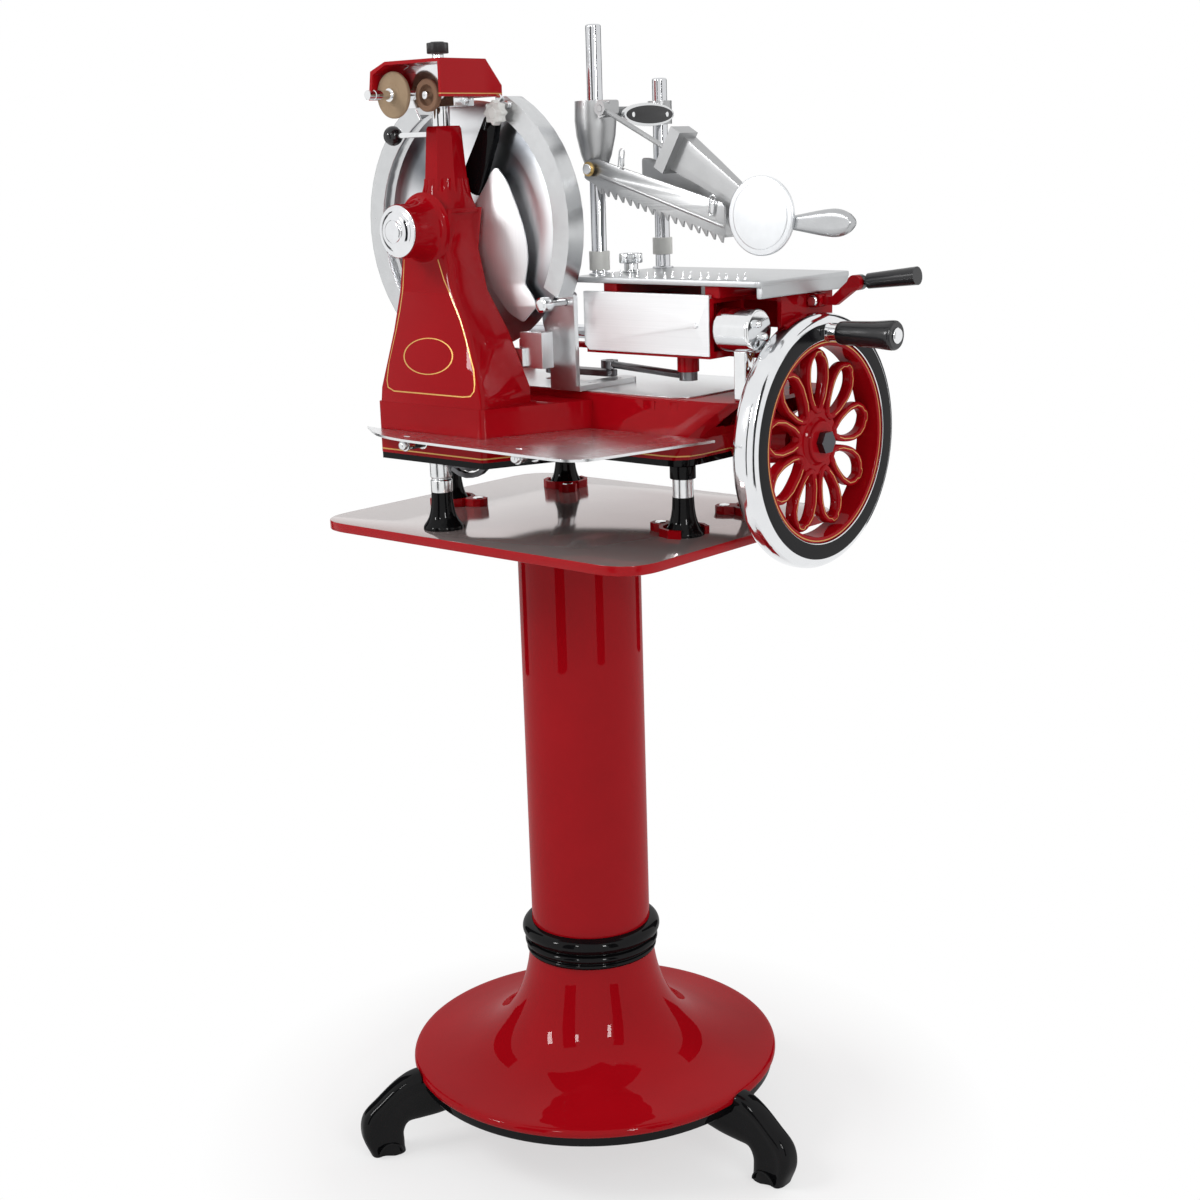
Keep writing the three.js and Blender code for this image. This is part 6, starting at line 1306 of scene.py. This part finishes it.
for i, (x, z) in enumerate([(99.5, 1250), (232, 1196)]):
    loops = []
    for half_wide, half_tall in ((4.4, 12), (2.9, 10.4)):
        loop = []
        for k in range(36):
            turn = 2 * math.pi * k / 36
            u = half_wide * math.cos(turn)
            v = half_wide * math.sin(turn) + math.copysign(half_tall - half_wide, math.sin(turn))
            c, s = math.cos(clip_lean), math.sin(clip_lean)
            loop.append((x + u * c + v * s, z - u * s + v * c))
        loops.append(loop)
    clip_bright = bright_turning(f"press_clip_bright_{i + 1}", "y", (x, z), (0.8, 0.81, 0.82), 0.12)
    clip = sawn(f"press_clip_{i + 1}", "y", loops, press_front - 3.4, press_front - 1.6)
    dressed(clip, "plate_body", "chrome", clip_bright)
    tongue = [rounded_box(x - 2.6, x + 2.6, z - 9, z + 3, 2.2, 3)]
    tongue = sawn(f"press_clip_tongue_{i + 1}", "y", tongue, press_front - 2.4, press_front + 0.4, edge=0.4)
    dressed(tongue, "plate_body", "chrome", clip_bright)

# Arm of the press: a link rod, a cast block and arm, and a round disc with an oval polished handle.
# The disc is turned, and the handle is cast with a flat back and polished.
relieved("press_arm", 1.3, press_metal, "cast_aluminium", "arm_body", 3, 26)
disc_place = (297, 1184)
disc_line = [(0, -12.5), (36.5, -12.5), (37.2, -12), (42.8, -12), (44, -11), (44, -7), (43, -6), (0, -6)]
bright_part("press_disc_turned", disc_line, "y", disc_place, 128, "arm_body", "press_disc",
            slot="polished_steel", shade=(0.88, 0.9, 0.92), rough=0.32, pitch=0.9)
handle_shares = flowing([(0, 0.4), (0.2, 0.55), (0.6, 0.95), (0.8, 1.0), (0.94, 0.7), (1, 0.2)], 5)
handle_start, handle_end, handle_half, handle_height, handle_back = 316.8, 412, 15, 1176, -6
handle_rings = []
for share, width in handle_shares:
    flat = min(0.6, width + 0.2)
    x = handle_start + (handle_end - handle_start) * share
    ring = []
    for k in range(32):
        turn = 2 * math.pi * k / 32
        y = max(handle_back + handle_half * 0.45 + handle_half * math.cos(turn) * flat, handle_back)
        ring.append(here(x, y, handle_height + handle_half * math.sin(turn) * width))
    handle_rings.append(ring)
handle = skinned("press_handle", handle_rings, 34)
dressed(handle, "arm_body", "polished_steel", cast_skin("handle_polished", (0.55, 0.56, 0.57), 0.3))

# Release paddle: a black plastic oval in a silver rim, held by two small screws. It is pressed with
# a thumb to free the press on its posts.
paddle_centre, paddle_face = (84.3, 1301.2), 57.6
rim_metal = cast_skin("paddle_rim", (0.84, 0.85, 0.86), 0.18)
paddle_black = moulding("paddle_black", (0.007, 0.007, 0.008), (0.02, 0.02, 0.022), 0.25)
for name, size, low, high, edge, slot, finish, nodes in (
    ("frame", (48, 14), 0, 6.2, 1.1, "cast_aluminium", rim_metal, ["release_paddle"]),
    ("inlay", (44.6, 10.8), 5.6, 7, 0.5, "black_plastic", paddle_black, []),
):
    oval = ring_line(paddle_centre, size, 96)
    oval = sawn(f"paddle_{name}", "x", [oval], paddle_face + low, paddle_face + high, edge=edge)
    dressed(oval, "paddle_body", slot, finish, *nodes)
line = [(0, 64.4), (3.2, 64.4), (3.0, 65.2), (1.8, 65.7), (0, 65.8)]
for i, y in enumerate((52, 117)):
    place = (y, paddle_centre[1])
    bright_part(f"paddle_screw_{i + 1}", line, "x", place, 28, "paddle_body", ease=(0,), rough=0.14)

# Folding lever at the carriage's end: a red forged bar on a pin with a bright head, and a black
# plastic grip that folds down on it.
relieved("fold_lever", 1.6, red_enamel("lever_red", 14.0), "red_paint", "lever_body", 3, 26)
relieved("fold_grip", 1.0, moulding("fold_grip_black", (0.006, 0.006, 0.007), (0.018, 0.018, 0.02), 0.24),
         "black_plastic", "lever_grip_body", 3, 26)
head_line = [(0, 78.8), (5.4, 78.8), (6.4, 79.8), (6.4, 82), (0, 82)]
bright_part("lever_pin_head", head_line, "y", (304, 1083), 32, "carriage_body", ease=(0.4, 2), rough=0.12)

# Floor, light and camera: a white floor that keeps the shadow, three large soft lamps and a white
# room with three small windows and a few dark flags, which metal mirrors.
shadow_reach, shadow_fade, shadow_lift = 120, 420, 0.62


def stage_white():
    """Pale matt floor; away from the object, and lifted a little under it, it is plain white."""
    finish = Finish("floor_white", specular_ior_level=0.0)
    x, y, z = finish.spot()
    away = (apart(x, y) - shadow_reach) / shadow_fade
    path = finish.add("ShaderNodeLightPath")
    seen = path["Is Camera Ray"].at_least(path["Is Glossy Ray"]).at_least(path["Is Transmission Ray"])
    patch = finish.noise(600, 2)
    finish.feed(base_color=finish.blend(patch, (0.80, 0.80, 0.80), (0.82, 0.82, 0.82)), roughness=0.9)
    white = finish.add("ShaderNodeEmission", {}, {"Color": (1, 1, 1, 1), "Strength": 1.0})[0]
    share = away.at_least(shadow_lift).at_most(1.0) * seen
    sockets = {0: share, 1: Wire(finish, finish.shader.outputs[0]), 2: white}
    mixed = finish.add("ShaderNodeMixShader", {}, sockets)[0]
    finish.tree.links.new(mixed.socket, finish.tree.nodes["Material Output"].inputs["Surface"])
    return finish


def staged(name, corners, finish):
    """A flat sheet of the stage."""
    piece = sheet(name, corners, (), [(0, 1, 2, 3)])
    piece.data.materials.append(finish.material)
    return piece


floor_sheet = staged("floor_sheet", [(-9, -9, 0), (9, -9, 0), (9, 9, 0), (-9, 9, 0)], stage_white())
floor_sheet.location.z = cad_box[0].z - 0.0005


def lamp(name, place, level, power, wide, tall):
    """A soft lamp that looks at a level of the object's middle."""
    light = bpy.data.lights.new(name, "AREA")
    light.energy = power
    light.shape = "RECTANGLE"
    light.size, light.size_y = wide, tall
    piece = placed(name, light)
    piece.location = place
    piece.rotation_mode = "QUATERNION"
    piece.rotation_quaternion = (Vector((0, 0, level)) - Vector(place)).to_track_quat("-Z", "Y")
    return piece


window_glow = 36
for name, place, power, wide, tall in (
    ("key_lamp", (-1.9, -2.2, 3.1), 60, 1.7, 1.2),
    ("fill_lamp", (3.0, -1.0, 2.2), 30, 1.4, 2.0),
    ("back_lamp", (0.6, 2.8, 2.6), 30, 2.0, 1.2),
):
    lamp(name, place, 0.9, power, wide, tall).visible_glossy = False
for name, place, wide, tall in (
    ("window_left", (-1.4, -2.9, 2.3), 0.35, 0.8),
    ("window_right", (2.9, -1.5, 2.2), 0.3, 0.9),
    ("window_front", (0.75, -3.1, 2.6), 0.3, 0.5),
):
    lamp(name, place, 0.8, window_glow * math.pi * wide * tall, wide, tall).visible_diffuse = False

flag_dark = Finish("flag_dark", roughness=0.9, specular_ior_level=0.0)
flag_weave = flag_dark.noise(20, 3)
flag_dark.feed(base_color=flag_dark.blend(flag_weave, (0.010, 0.011, 0.013), (0.02, 0.021, 0.024)))
flag_height = Vector((0, 0, 2.6))
flag_rows = [(-88, 0.75, 2.3), (-14, 0.62, 2.3), (88, 0.8, 2.4), (182, 0.7, 2.3)]
for i, (turn, wide, far) in enumerate(flag_rows):
    c, s = math.cos(math.radians(turn)), math.sin(math.radians(turn))
    middle, aside = Vector((c, s, 0)) * far, Vector((-s, c, 0)) * wide / 2
    corners = [middle - aside, middle + aside, middle + aside + flag_height, middle - aside + flag_height]
    flag = staged(f"flag_{i + 1}", corners, flag_dark)
    flag.visible_camera = flag.visible_diffuse = flag.visible_shadow = False

room_level = 0.6
room = bpy.data.worlds.new("white_room")
room.use_nodes = True
tree = room.node_tree
tree.nodes.clear()
shown = tree.nodes.new("ShaderNodeLightPath").outputs
rays = shown["Is Camera Ray"]
for way in ("Is Glossy Ray", "Is Transmission Ray"):
    rays = wired(tree, "ShaderNodeMath", {"operation": "MAXIMUM"}, {0: rays, 1: shown[way]}).outputs[0]
level = wired(tree, "ShaderNodeMix", {}, {0: rays, 2: room_level, 3: 1.0}).outputs[0]
glow = wired(tree, "ShaderNodeBackground", {}, {0: (1, 1, 1, 1), 1: level}).outputs[0]
wired(tree, "ShaderNodeOutputWorld", {}, {0: glow})
bpy.context.scene.world = room
bpy.context.scene.view_settings.view_transform = "Standard"

azimuth, elevation, roll = math.radians(41.08), math.radians(13.82), math.radians(-1.72)
back = Vector(
    (math.sin(azimuth) * math.cos(elevation), -math.cos(azimuth) * math.cos(elevation), math.sin(elevation))
)
level_right = Vector((math.cos(azimuth), math.sin(azimuth), 0))
level_up = Vector(
    (-math.sin(azimuth) * math.sin(elevation), math.cos(azimuth) * math.sin(elevation), math.cos(elevation))
)
right = math.cos(roll) * level_right + math.sin(roll) * level_up
up = math.cos(roll) * level_up - math.sin(roll) * level_right
camera_data = bpy.data.cameras.new("photo_camera")
camera_data.sensor_width = 36
camera_data.lens = 54.57
camera = placed("photo_camera", camera_data)
camera.rotation_mode = "QUATERNION"
camera.rotation_quaternion = Matrix((right, up, back)).transposed().to_quaternion()
camera.location = (1.4334, -1.6977, 1.2800)
bpy.context.scene.camera = camera
